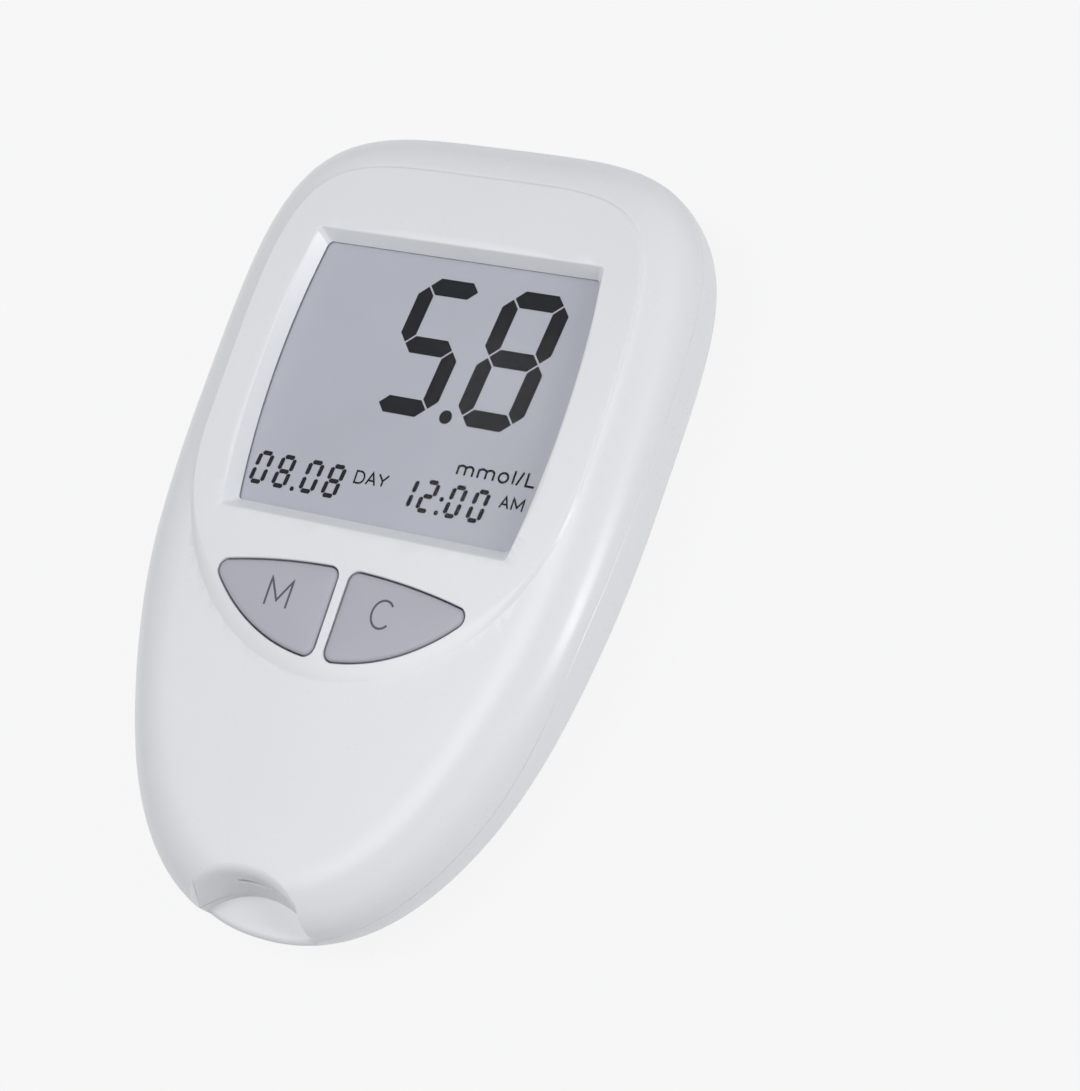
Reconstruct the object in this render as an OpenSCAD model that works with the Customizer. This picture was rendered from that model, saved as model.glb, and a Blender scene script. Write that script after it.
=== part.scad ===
// Hand-held blood glucose meter: an egg-shaped two-shell case with a sunk display,
// two keys under it, and a scooped strip port at the narrow end.
// X runs across, Y runs from the strip end to the top end, Z points out of the face.
// The origin is the middle of the rear face, on which the meter lies.

/* [Case] */
// Overall length, from the strip end to the top end
case_l = 83; // [78:0.5:100]
// Overall width
case_w = 53; // [50:0.5:64]
// Overall thickness at the top end
case_t = 14; // [13.5:0.1:17]
// Distance of the widest place from the middle, towards the top end
widest_y = 9.4; // [6:0.2:12]
// Squareness of the top end's corners, 2 being an ellipse
top_square = 4.2; // [3:0.1:5]
// Squareness of the strip end, 2 being an ellipse
tail_square = 2.25; // [2:0.05:2.6]
// Wall thickness of both shells
wall = 1.6; // [1.2:0.1:2]
// How far the face falls along the case's length, from the panel's top edge
face_fall = 3.1; // [1.5:0.1:3.6]
// Height of the parting line at the top end
parting_top = 9; // [8.4:0.1:9.6]
// Height of the parting line at the strip end
parting_tail = 6.4; // [6:0.1:7.5]
// Width of the rounded shoulder round the face
shoulder_w = 6; // [5:0.1:6.5]
// Squareness of the shoulder, 2 being an ellipse
shoulder_square = 2.4; // [2:0.1:3]
// Width of the rounding round the rear face
belly_w = 4.6; // [3:0.1:6]
// Height of the lip that locates the front shell on the rear one
lip_h = 0.9; // [0.5:0.1:1.2]
// Gap between the shells along the parting line
parting_gap = 0.04; // [0.02:0.01:0.08]
// Gap round that lip
lip_gap = 0.12; // [0.08:0.02:0.2]

/* [Face panel] */
// Half the width of the raised face panel
panel_hw = 22.5; // [21.5:0.1:23.5]
// Distance from the top end to the panel's top edge
panel_top_margin = 4.8; // [4:0.1:6]
// Distance from the strip end to the panel's lower edge
panel_tail_margin = 24.8; // [22:0.1:27]
// Height of the panel above the shoulder
panel_step = 0.27; // [0.15:0.01:0.4]

/* [Display] */
// Half the width of the display recess at its corners
recess_hw = 17.3; // [16:0.1:18]
// Distance from the top end to the recess
recess_top_margin = 12.5; // [11.5:0.1:14]
// Length of the recess, along Y
recess_l = 30.6; // [28:0.1:31]
// How far the recess's sides bow outwards
recess_bow = 1.2; // [0.5:0.05:1.4]
// Depth of the sloped recess
recess_depth = 1.1; // [0.8:0.1:1.3]
// How far each wall of the recess slopes inwards
recess_slope = 1.15; // [0.8:0.05:1.3]
// Thickness of the upright edge round the viewing hole
rim_t = 0.5; // [0.3:0.1:0.6]
// Overlap of the window behind the rim
window_lap = 1.2; // [0.8:0.1:1.4]
// Thickness of the clear window
window_t = 1; // [0.8:0.1:1.2]
// Thickness of the window's adhesive tape
tape_t = 0.1; // [0.05:0.05:0.15]
// Thickness of each display glass
glass_t = 0.7; // [0.5:0.1:0.8]
// Overlap of the display glass past the viewing hole
glass_lap = 0.9; // [0.6:0.1:1.1]
// Thickness of the reflector behind the display
reflector_t = 0.15; // [0.1:0.05:0.2]

/* [Keys] */
// Distance from the recess to the top of the keys, at the middle
key_top_gap = 4; // [3.5:0.1:5]
// Radius of the arch along the keys' top edge
key_arch_r = 70; // [55:1:90]
// Width of the rim left between the keys and the panel's edge
key_rim = 1.9; // [1.6:0.1:2.4]
// Width of the bar between the two keys, from key to key
key_bar = 1.45; // [1.2:0.05:2]
// Corner radius of the keys
key_corner_r = 0.95; // [0.6:0.05:1.2]
// Gap round each key
key_gap = 0.18; // [0.12:0.01:0.25]
// Height of the keys above the face
key_proud = 0.12; // [0:0.02:0.3]
// Width of the rounded edge of a key
key_edge = 0.45; // [0.2:0.05:0.6]
// Width of the flange that holds a key in
key_flange_w = 0.8; // [0.5:0.1:1]
// Thickness of that flange
key_flange_t = 0.7; // [0.5:0.1:0.9]
// Travel of a key
key_travel = 0.35; // [0.2:0.05:0.4]
// Radius of the plunger under a key
plunger_r = 1.3; // [1:0.1:1.5]
// Distance of each plunger from the middle
plunger_x = 6; // [5:0.1:7]
// Radius of a snap dome
dome_r = 2.6; // [2:0.1:3]

/* [Strip port] */
// Radius of the scoop at the strip end
scoop_r = 10; // [8:0.1:12]
// How far the scoop reaches in from the strip end
scoop_reach = 5.2; // [4:0.1:6]
// Slope of the scoop's wall, in degrees
scoop_draft = 14; // [5:1:20]
// Height of the tongue under the scoop
tongue_z = 6; // [5:0.1:6.4]
// Fall of the tongue towards the strip end, in degrees
tongue_tilt = 8; // [0:1:12]
// Width of a test strip
strip_w = 4; // [3.5:0.1:5.5]
// Thickness of a test strip
strip_t = 0.4; // [0.3:0.05:0.5]
// Clearance round a test strip
strip_gap = 0.2; // [0.1:0.05:0.3]

/* [Battery] */
// Radius of the coin cell
cell_r = 10; // [10:10]
// Thickness of the coin cell
cell_t = 3.2; // [3.2:3.2]
// Distance of the coin cell from the widest place, towards the top end
cell_from_widest = 1.6; // [0:0.1:3]
// Clearance round the coin cell
cell_gap = 0.25; // [0.2:0.05:0.4]
// Wall round the battery bay
bay_wall = 1.2; // [1:0.1:1.6]
// Thickness of the battery door
door_t = 1.2; // [1:0.1:1.3]
// Gap round the battery door
door_gap = 0.15; // [0.1:0.05:0.2]
// Margin of the battery door round the cell
door_margin = 2.4; // [2:0.1:3]
// Radius of the door's hinge barrel
barrel_r = 1; // [0.9:0.05:1.1]
// Radius of the door's hinge lugs
lug_r = 0.6; // [0.5:0.05:0.7]
// Length of the door's hinge lugs
lug_l = 1.4; // [1:0.1:1.8]
// Radius of the door's corners at its free end
door_corner_r = 1.6; // [0.8:0.1:2.4]
// Radius of the notch for a finger nail at that end
nail_notch_r = 3.2; // [2:0.1:5]
// Number of grip grooves in the door
grip_n = 4; // [2:1:6]
// Distance from one grip groove to the next
grip_pitch = 1.1; // [0.9:0.1:1.5]
// Width of the grip grooves
grip_w = 8; // [5:0.5:12]
// Running clearance of the lugs in their sockets
lug_gap = 0.06; // [0.03:0.01:0.1]
// Thickness of the contact springs
leaf_t = 0.2; // [0.15:0.05:0.25]

/* [Board and screws] */
// Thickness of the circuit board
board_t = 1; // [0.8:0.1:1.2]
// Gap between the display's reflector and the board
board_gap = 0.35; // [0.2:0.05:0.5]
// Distance of the board's edge inside the case's outline
board_inset = 3.4; // [3:0.1:5]
// Radius of the case screws' shank
case_screw_r = 0.8; // [0.7:0.05:1]
// Radius of the case screws' heads
case_head_r = 1.5; // [1.3:0.1:1.7]
// Radius of the bosses for the case screws
boss_r = 2.2; // [2:0.1:2.4]
// Radius of the board screws' shank
board_screw_r = 0.7; // [0.6:0.05:0.8]
// Radius of the board screws' heads
board_head_r = 1.3; // [1.1:0.1:1.5]
// Radius of the bosses for the board screws
board_boss_r = 1.7; // [1.5:0.1:2]
// How far the case screws reach into the front shell's bosses
case_bite = 3.4; // [2.5:0.1:4]
// How far the board screws reach into theirs
board_bite = 2.2; // [1.6:0.1:2.6]
// Gap between a screw and its pilot hole
pilot_gap = 0.03; // [0.02:0.01:0.05]
// Gap between a screw and the hole that it passes through
screw_gap = 0.15; // [0.1:0.05:0.2]

/* [Hidden] */
$fn = 64;
slack = 0.01;
big = 200;

// Points round an outline; hollows take fewer
$around = 96;
around_hollow = 60;

// Places along Y
top_y = case_l / 2;
tail_y = -case_l / 2;
recess_top = top_y - recess_top_margin;
recess_tail = recess_top - recess_l;
window_y = (recess_top + recess_tail) / 2;
panel_top = top_y - panel_top_margin;
panel_tail = tail_y + panel_tail_margin;
panel_widest = widest_y - 2.6;
key_top = recess_tail - key_top_gap;
cell_y = widest_y + cell_from_widest;

// The parting line starts to fall here and is down again there
fall_from = -4;
fall_to = tail_y + 15.5;

// Depths below the face, in the tilted frame that the display and the board share
face_curve = 1.5;
rim_depth = recess_depth + rim_t;
window_depth = rim_depth + tape_t;
glass_depth = window_depth + window_t + 0.2;
back_depth = glass_depth + glass_t;
reflector_depth = back_depth + glass_t;
board_depth = reflector_depth + reflector_t + board_gap;
skin_depth = panel_step + wall;
glass_hw = recess_hw - recess_slope + recess_bow + glass_lap;
glass_top = recess_top - recess_slope + glass_lap;
glass_tail = recess_tail + recess_slope - glass_lap;
ledge_l = 2.6;
ledge_hw = 14.2;
frame_wall = 1;
frame_gap = 0.1;
window_gap = 0.15;
key_opening = [-2, 4];

// Heights of the battery bay
floor_t = wall - 0.1;
cell_z = door_t + 0.25;
ceiling_z = cell_z + cell_t + 0.65;
bay_top = ceiling_z + 0.9;
door_hw = cell_r + door_margin;
door_tail = cell_y - cell_r - door_margin - 0.4;
door_top = cell_y + cell_r + door_margin;
bay_hw = door_hw + door_gap + bay_wall;
hinge_y = door_tail + barrel_r;

// Screw places
case_screws_at = [[-18, top_y - 8.3], [18, top_y - 8.3], [-12.5, tail_y + 16.5],
    [12.5, tail_y + 16.5]];
board_screws_at = [[-10, top_y - 5.9], [10, top_y - 5.9], [-19.4, recess_tail - 3.6],
    [19.4, recess_tail - 3.6]];
boss_meet = 6;
head_z = 1.5;
head_t = 0.9;
board_head_t = 0.7;
spare = 0.5;

// How deep one shape is sunk into another that it is part of
sink = 0.3;

// ---- Outline and surfaces ----

function sign_of(v) = v < 0 ? -1 : 1;

// Smooth step from 0 to 1
function ease(t) = let (u = min(1, max(0, t))) u * u * (3 - 2 * u);

// Height of the face at a place along Y
function face_z(y) = case_t - face_fall * pow(max(0, panel_top - y) / case_l, face_curve);

// Height of the parting line at a place along Y
function parting_z(y) =
    parting_top + (parting_tail - parting_top) * ease((fall_from - y) / (fall_from - fall_to));

// An egg is [half width, widest y, top y, tail y, top squareness, tail squareness]
case_egg = [case_w / 2, widest_y, top_y, tail_y, top_square, tail_square];
panel_egg = [panel_hw, panel_widest, panel_top, panel_tail, 5, 2];

function egg_n(egg, a) = sin(a) >= 0 ? egg[4] : egg[5];
function egg_h(egg, a) = sin(a) >= 0 ? egg[2] - egg[1] : egg[1] - egg[3];
function egg_radius(egg, a) =
    let (n = egg_n(egg, a))
    pow(pow(abs(cos(a)) / egg[0], n) + pow(abs(sin(a)) / egg_h(egg, a), n), -1 / n);

// Outward direction of the egg's edge at angle a
function egg_normal(egg, a) =
    let (
        n = egg_n(egg, a),
        h = egg_h(egg, a),
        r = egg_radius(egg, a),
        x = sign_of(cos(a)) * pow(abs(r * cos(a)) / egg[0], n - 1) / egg[0],
        y = sign_of(sin(a)) * pow(abs(r * sin(a)) / h, n - 1) / h
    )
    [x, y] / norm([x, y]);

// Point of the egg at angle a, moved inwards
function egg_point(egg, a, inset) =
    [0, egg[1]] + egg_radius(egg, a) * [cos(a), sin(a)] - inset * egg_normal(egg, a);

function egg_outline(egg, inset) =
    [for (i = [0 : $around - 1]) egg_point(egg, 360 * i / $around, inset)];

// A closed ring of points: the egg moved inwards, shrunk towards its middle, at height(y)
function ring(egg, inset, shrink, height) =
    [for (p = egg_outline(egg, inset))
        let (x = shrink * p[0], y = egg[1] + shrink * (p[1] - egg[1]))
        [x, y, height(y)]];

// Skin over a stack of rings, closed by a fan at each end
module skin(rings) {
    n = len(rings[0]);
    m = len(rings);
    sides = [for (k = [0 : m - 2], i = [0 : n - 1])
        let (j = (i + 1) % n)
        each [[k * n + i, (k + 1) * n + i, (k + 1) * n + j],
            [k * n + i, (k + 1) * n + j, k * n + j]]];
    ends = [for (i = [1 : n - 2])
        each [[0, i, i + 1], [(m - 1) * n, (m - 1) * n + i + 1, (m - 1) * n + i]]];
    polyhedron(points = [for (r = rings) each r], faces = concat(sides, ends));
}

// Rings that carry a surface from the edge of an egg in to its middle, or out again
fill_in = [0.8, 0.55, 0.3, 0.08];
hollow_in = [0.6, 0.2];
hollow_out = [0.2, 0.6];

function fill_rings(egg, inset, steps, height) =
    [for (s = steps) ring(egg, inset, s, height)];

// Quarter round of a given squareness: how far in and how far up at step t
function round_in(t, square) = 1 - pow(cos(90 * t), 2 / square);
function round_up(t, square) = pow(sin(90 * t), 2 / square);

// A rounding is this much narrower for each millimetre that it lies further in
round_loss = 0.4;

// Front shell as a solid from the parting line up
module front_solid() {
    top = function (y) face_z(y) - panel_step;
    parting = function (y) parting_z(y);
    skin(concat(
        fill_rings(case_egg, 0, hollow_out, parting),
        [ring(case_egg, 0, 1, parting)],
        [for (t = [0.16, 0.32, 0.48, 0.64, 0.8, 0.91, 1])
            ring(case_egg, shoulder_w * round_in(t, shoulder_square), 1,
                function (y) parting_z(y)
                    + (top(y) - parting_z(y)) * round_up(t, shoulder_square))],
        fill_rings(case_egg, shoulder_w, fill_in, top)));
}

// Its hollow, or with half the wall what its bosses may fill, from below the parting line up
module front_hollow(inset) {
    $around = around_hollow;
    width = shoulder_w - round_loss * inset;
    top = function (y) face_z(y) - panel_step - inset;
    low = function (y) parting_z(y) - 3;
    parting = function (y) parting_z(y);
    skin(concat(
        fill_rings(case_egg, inset, hollow_out, low),
        [ring(case_egg, inset, 1, low), ring(case_egg, inset, 1, parting)],
        [for (t = [0.35, 0.65, 0.88, 1])
            ring(case_egg, inset + width * round_in(t, shoulder_square), 1,
                function (y) parting_z(y)
                    + (top(y) - parting_z(y)) * round_up(t, shoulder_square))],
        fill_rings(case_egg, inset + width, hollow_in, top)));
}

// Rear shell as a solid, from its rear face up to the parting line
module rear_solid(inset) {
    width = belly_w - round_loss * inset;
    parting = function (y) parting_z(y) - parting_gap;
    skin(concat(
        [for (t = [1, 0.85, 0.7, 0.55, 0.4, 0.25, 0.12])
            ring(case_egg, inset + width * round_in(t, 2), 1,
                function (y) parting(y) - (parting(y) - inset) * round_up(t, 2))],
        [ring(case_egg, inset, 1, parting)],
        fill_rings(case_egg, inset, hollow_in, parting)));
}

// Its hollow, from the floor up past the parting line
module rear_hollow() {
    $around = around_hollow;
    width = belly_w - round_loss * wall;
    parting = function (y) parting_z(y);
    high = function (y) parting_z(y) + 2;
    skin(concat(
        [for (t = [1, 0.75, 0.5, 0.25])
            ring(case_egg, wall + width * round_in(t, 2), 1,
                function (y) parting_z(y) - (parting_z(y) - floor_t) * round_up(t, 2))],
        [ring(case_egg, wall, 1, parting), ring(case_egg, wall, 1, high)],
        fill_rings(case_egg, wall, hollow_in, high)));
}

// Slab that follows the parting line
module parting_slab(inset, below, above) {
    low = function (y) parting_z(y) - below;
    high = function (y) parting_z(y) + above;
    skin(concat(
        fill_rings(case_egg, inset, hollow_out, low),
        [ring(case_egg, inset, 1, low), ring(case_egg, inset, 1, high)],
        fill_rings(case_egg, inset, hollow_in, high)));
}

// Raised face panel, with a narrow bevel round it
module face_panel() {
    bevel = 0.12;
    root = function (y) face_z(y) - panel_step - wall / 2;
    edge = function (y) face_z(y) - bevel;
    top = function (y) face_z(y);
    skin(concat(
        fill_rings(panel_egg, -2 * bevel, hollow_out, root),
        [ring(panel_egg, -2 * bevel, 1, root)],
        [ring(panel_egg, -bevel, 1, edge), ring(panel_egg, 0, 1, top)],
        fill_rings(panel_egg, 0, fill_in, top)));
}

// ---- Shared frames and shapes ----

// The display, the keys and the board lie along the face, which falls a little
face_tilt = atan((face_z(recess_top) - face_z(recess_tail)) / recess_l);

module on_face() {
    translate([0, window_y, face_z(window_y)])
        rotate([face_tilt, 0, 0])
            translate([0, -window_y, 0])
                children();
}

// Block in the face frame between two depths
module face_plate(from_depth, to_depth) {
    on_face()
        translate([0, 0, -to_depth])
            linear_extrude(height = to_depth - from_depth)
                children();
}

// Rectangle whose two long sides bow outwards
module bowed(hw, y0, y1, bow) {
    half = (y1 - y0) / 2;
    r = (half * half + bow * bow) / (2 * bow);
    middle = (y0 + y1) / 2;
    intersection() {
        translate([-hw - bow, y0]) square([2 * (hw + bow), y1 - y0]);
        translate([hw + bow - r, middle]) circle(r = r, $fn = 360);
        translate([r - hw - bow, middle]) circle(r = r, $fn = 360);
    }
}

// Outline of the recess at the face, grown or shrunk
module recess_outline(grow) {
    bowed(recess_hw + grow, recess_tail - grow, recess_top + grow, recess_bow);
}

// Outline of the left key: an arch above, the panel's own curve below, and the bar beside it
module key_outline(grow) {
    offset(r = key_corner_r + grow, $fn = 32)
        offset(delta = -key_corner_r)
            intersection() {
                translate([0, key_top - key_arch_r]) circle(r = key_arch_r, $fn = 240);
                polygon(egg_outline(panel_egg, key_rim));
                translate([-big - key_bar / 2, -big]) square([big, 2 * big]);
            }
}

// Outline of its flange, held clear of the other key's
module flange_outline() {
    intersection() {
        key_outline(key_flange_w);
        translate([-big - key_gap, -big]) square([big, 2 * big]);
    }
}

// The left piece of a pair and the right one
module both_sides() {
    children();
    mirror([1, 0, 0]) children();
}

// Height of the display's plane, and how far the face lies below it, at a place along Y
function plane_z(y) = face_z(window_y) + (y - window_y) * tan(face_tilt);
function face_drop(y) = plane_z(y) - face_z(y);

// The face is lowest over the keys' flanges at their tail ends
flange_gap = 0.045;
key_tail = panel_tail + key_rim;
key_y = (key_top + key_tail) / 2;
key_drop = face_drop(key_y);
flange_depth = face_drop(key_tail - key_flange_w) + skin_depth + flange_gap;
plunger_y = key_y + 0.8;

// A snap dome stands a little higher than a key travels
dome_h = key_travel + 0.1;
plunger_end = board_depth - dome_h - 0.05;

// The scoop above the tongue, as a cone whose wall slopes outwards going up
scoop_slope = tan(scoop_draft);
scoop_y = tail_y + scoop_reach - scoop_r - (face_z(tail_y) - tongue_z) * scoop_slope;

module scoop(grow) {
    under = 4;
    over = case_t - tongue_z + under;
    difference() {
        translate([0, scoop_y, tongue_z - under])
            cylinder(r1 = scoop_r - under * scoop_slope + grow,
                r2 = scoop_r + over * scoop_slope + grow, h = under + over, $fn = 96);
        translate([0, scoop_y + scoop_r, tongue_z])
            rotate([tongue_tilt, 0, 0])
                translate([-big / 2, -big / 2, -big])
                    cube([big, big, big]);
    }
}

// ---- Shells ----

module front_bosses() {
    for (p = case_screws_at)
        translate([p[0], p[1], boss_meet])
            cylinder(r = boss_r, h = case_t - boss_meet, $fn = 32);
    for (p = board_screws_at)
        on_face()
            translate([p[0], p[1], -board_depth])
                cylinder(r = board_boss_r, h = board_depth, $fn = 32);
}

module front_pilots() {
    for (p = case_screws_at)
        translate([p[0], p[1], boss_meet - 1])
            cylinder(r = case_screw_r + pilot_gap, h = case_bite + spare + 1, $fn = 24);
    for (p = board_screws_at)
        on_face()
            translate([p[0], p[1], -board_depth - 1])
                cylinder(r = board_screw_r + pilot_gap, h = board_bite + spare + 1, $fn = 24);
}

// Sloped recess, viewing hole and the seat behind it
module display_cuts() {
    on_face() {
        hull() {
            translate([0, 0, -recess_depth])
                linear_extrude(height = slack)
                    recess_outline(-recess_slope);
            translate([0, 0, 1])
                linear_extrude(height = slack)
                    recess_outline(recess_slope / recess_depth);
        }
    }
    face_plate(recess_depth - slack, rim_depth + slack)
        recess_outline(-recess_slope);
    face_plate(rim_depth, rim_depth + 2 * wall)
        offset(delta = window_gap)
            recess_outline(window_lap - recess_slope);
}

module strip_slit() {
    on_face()
        translate([-strip_w / 2 - strip_gap, tail_y - 5, -strip_depth - strip_gap])
            cube([strip_w + 2 * strip_gap, 20, strip_t + 2 * strip_gap]);
}

// One mesh: the front shell with its panel, bosses and openings
module front_case() {
    color("ghostwhite")
        resize([0, 0, 0])
            difference() {
                union() {
                    front_solid();
                    face_panel();
                }
                difference() {
                    union() {
                        front_hollow(wall);
                        parting_slab(wall / 2 + lip_gap / 2, 1, lip_h + 0.1);
                    }
                    scoop(wall);
                    intersection() {
                        front_bosses();
                        front_hollow(wall / 2);
                    }
                }
                scoop(0);
                display_cuts();
                both_sides()
                    face_plate(key_opening[0], key_opening[1])
                        key_outline(key_gap);
                strip_slit();
                front_pilots();
            }
}

module case_screw_holes() {
    for (p = case_screws_at)
        translate([p[0], p[1], -1]) {
            cylinder(r = case_screw_r + screw_gap, h = boss_meet + 2);
            cylinder(r = case_head_r + screw_gap, h = head_z + head_t + 1);
        }
}

module bay_block() {
    bay_l = door_top - door_tail + 2 * (door_gap + bay_wall);
    translate([-bay_hw, door_tail - door_gap - bay_wall, floor_t - sink])
        cube([2 * bay_hw, bay_l, bay_top - floor_t + sink]);
}

// Blocks beside the door that hold its lugs
module hinge_ears() {
    ear_l = lug_l + 1.2;
    ear_top = barrel_r + lug_r + 0.9;
    for (side = [-1, 1])
        translate([side * (door_hw + door_gap + ear_l / 2), hinge_y, (floor_t - sink + ear_top) / 2])
            cube([ear_l, 2 * (lug_r + 1), ear_top - floor_t + sink], center = true);
}

// Hollows that keep the corners of the bay's block no thicker than its walls
module bay_cores() {
    core_r = 1.6;
    for (x = [-1, 1], y = [-1, 1])
        translate([x * (door_hw + door_gap - core_r - 0.6), cell_y + y * cell_r, door_t + core_r])
            cylinder(r = core_r, h = bay_top);
}

// Room for the door, its barrel, the cell and the contacts
module bay_cuts() {
    over_door = 0.15;
    translate([0, 0, -1])
        linear_extrude(height = 1 + door_t + over_door)
            door_outline(door_gap);
    translate([0, door_top, -1])
        cylinder(r = nail_notch_r, h = 1 + 0.6 * floor_t);
    translate([-door_hw - door_gap, door_tail - door_gap, -1])
        cube([2 * (door_hw + door_gap), 2 * (barrel_r + door_gap), 1 + 2 * barrel_r + door_gap]);
    translate([0, cell_y, -1])
        cylinder(r = cell_r + cell_gap, h = ceiling_z + 1);
    translate([0, hinge_y, barrel_r])
        rotate([0, 90, 0])
            cylinder(r = lug_r + lug_gap, h = 2 * (door_hw + lug_l + 0.2), center = true);
    bay_cores();
    plus_pocket();
    minus_slot();
}

// Shelf that closes the rear shell under the scoop
module scoop_shelf() {
    shelf_t = 4;
    intersection() {
        rear_solid(wall / 4);
        difference() {
            translate([0, scoop_y, tongue_z + wall - shelf_t])
                cylinder(r = scoop_r + 1.5 * wall, h = shelf_t, $fn = 64);
            translate([-big / 2, tail_y + scoop_reach + 2 * wall, 0])
                cube([big, big, big]);
        }
    }
}

module rear_shell_mesh() {
    resize([0, 0, 0])
        union() {
            difference() {
                rear_solid(0);
                rear_hollow();
            }
            difference() {
                parting_slab(wall / 2 + lip_gap, 0.8, lip_h);
                parting_slab(wall, 1, lip_h + 1);
                scoop(wall + 0.1);
            }
            scoop_shelf();
        }
}

module rear_case() {
    color("ghostwhite")
        difference() {
            union() {
                difference() {
                    rear_shell_mesh();
                    scoop(0);
                }
                for (p = case_screws_at)
                    translate([p[0], p[1], floor_t - sink])
                        cylinder(r = boss_r, h = boss_meet - floor_t + sink);
                bay_block();
                hinge_ears();
            }
            bay_cuts();
            case_screw_holes();
        }
}

// Outline of the door, with round corners at its free end
module door_outline(grow) {
    hw = door_hw + grow;
    r = door_corner_r + grow;
    translate([-hw, hinge_y - grow])
        square([2 * hw, door_top - door_corner_r - hinge_y + grow]);
    translate([r - hw, hinge_y])
        square([2 * (hw - r), door_top + grow - hinge_y]);
    for (side = [-1, 1])
        translate([side * (hw - r), door_top + grow - r])
            circle(r = r);
}

// Plate with a barrel along one end, two lugs and a grip
module battery_door() {
    color("ghostwhite")
        difference() {
            union() {
                linear_extrude(height = door_t)
                    door_outline(0);
                translate([0, hinge_y, barrel_r])
                    rotate([0, 90, 0])
                        cylinder(r = barrel_r, h = 2 * door_hw, center = true);
                translate([0, hinge_y, barrel_r])
                    rotate([0, 90, 0])
                        cylinder(r = lug_r, h = 2 * (door_hw + lug_l), center = true);
            }
            for (i = [0 : grip_n - 1])
                translate([-grip_w / 2, door_top - 2 - i * grip_pitch, -slack])
                    cube([grip_w, grip_pitch / 2, 0.25]);
        }
}

// ---- Display ----

module display_window() {
    color([0.8, 0.85, 0.9, 0.4])
        face_plate(window_depth, window_depth + window_t)
            recess_outline(window_lap - recess_slope);
}

module window_tape() {
    color("dimgray")
        face_plate(rim_depth, window_depth)
            difference() {
                recess_outline(window_lap - recess_slope);
                recess_outline(0.3 - recess_slope);
            }
}

module glass_outline() {
    translate([-glass_hw, glass_tail])
        square([2 * glass_hw, glass_top - glass_tail]);
}

// The back glass carries a narrower contact ledge past the front glass
module back_glass_outline(grow) {
    translate([-glass_hw - grow, glass_tail - grow])
        square([2 * (glass_hw + grow), glass_top - glass_tail + 2 * grow]);
    translate([-ledge_hw - grow, window_y])
        square([2 * (ledge_hw + grow), glass_top + ledge_l + grow - window_y]);
}

module lcd_front_glass() {
    color([0.66, 0.7, 0.72])
        face_plate(glass_depth, glass_depth + glass_t)
            glass_outline();
}

module lcd_back_glass() {
    color([0.62, 0.66, 0.69])
        face_plate(back_depth, back_depth + glass_t)
            back_glass_outline(0);
}

module lcd_reflector() {
    inset = 0.6;
    color("silver")
        face_plate(reflector_depth, reflector_depth + reflector_t)
            translate([inset - glass_hw, glass_tail + inset])
                square([2 * (glass_hw - inset), glass_top - glass_tail - 2 * inset]);
}

// Frame that clips the display to the board
module lcd_frame() {
    color("whitesmoke")
        face_plate(glass_depth + 0.1, board_depth)
            difference() {
                back_glass_outline(frame_gap + frame_wall);
                back_glass_outline(frame_gap);
            }
}

// Rubber connector between the ledge and the board
module zebra_strip() {
    color("darkslategray")
        face_plate(reflector_depth, board_depth)
            translate([0.4 - ledge_hw, glass_top + 0.5])
                square([2 * (ledge_hw - 0.4), 1.6]);
}

// ---- Keys ----

// One level of a key's cap
module key_level(grow, height) {
    translate([0, 0, height])
        linear_extrude(height = slack)
            key_outline(grow);
}

// A pillowed cap with a flange and a plunger
module left_key() {
    cap_top = key_proud - key_drop;
    color([0.66, 0.66, 0.7])
        on_face() {
            hull() {
                key_level(0, -flange_depth - key_flange_t / 2);
                key_level(0, cap_top - 0.3);
                key_level(-key_edge / 5, cap_top - 0.12);
                key_level(-key_edge / 2, cap_top - 0.03);
                key_level(-key_edge, cap_top - slack);
            }
            translate([0, 0, -flange_depth - key_flange_t])
                linear_extrude(height = key_flange_t)
                    flange_outline();
            translate([-plunger_x, plunger_y, -plunger_end])
                cylinder(r = plunger_r, h = plunger_end - flange_depth - key_flange_t / 3);
        }
}

module right_key() {
    mirror([1, 0, 0]) left_key();
}

// Thin metal dome that clicks and pushes the key back
module left_dome() {
    leaf = 0.12;
    ball_r = (dome_r * dome_r + dome_h * dome_h) / (2 * dome_h);
    steps = 6;
    arc = function (r) [for (i = [0 : steps])
        let (a = asin(dome_r / ball_r) * i / steps)
        [r * sin(a), max(0, r * cos(a) + dome_h - ball_r)]];
    inner = arc(ball_r - leaf);
    color("silver")
        on_face()
            translate([-plunger_x, plunger_y, -board_depth])
                rotate_extrude()
                    polygon(concat(arc(ball_r), [for (i = [steps : -1 : 0]) inner[i]]));
}

module right_dome() {
    mirror([1, 0, 0]) left_dome();
}

// ---- Board and what is on it ----

board_tail = tail_y + scoop_reach + 3.2;

// Places on the board's underside
microcontroller_at = [-7, panel_tail + 5];
memory_at = [8, panel_tail + 6];
crystal_at = [8, panel_tail - 0.4];
buzzer_at = [-1, panel_tail - 6.6];

// Places on its top
analogue_at = [-9, panel_tail - 4.4];
thermistor_at = [7.4, board_tail + 2.4];
capacitors_at = [for (side = [-1, 1], i = [0 : 2]) [side * (15.5 - i * 2.2), panel_tail - 0.6]];
resistors_at = [for (side = [-1, 1], i = [0 : 2]) [side * (9.2 - i * 1.4), panel_tail - 8.6]];

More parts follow.
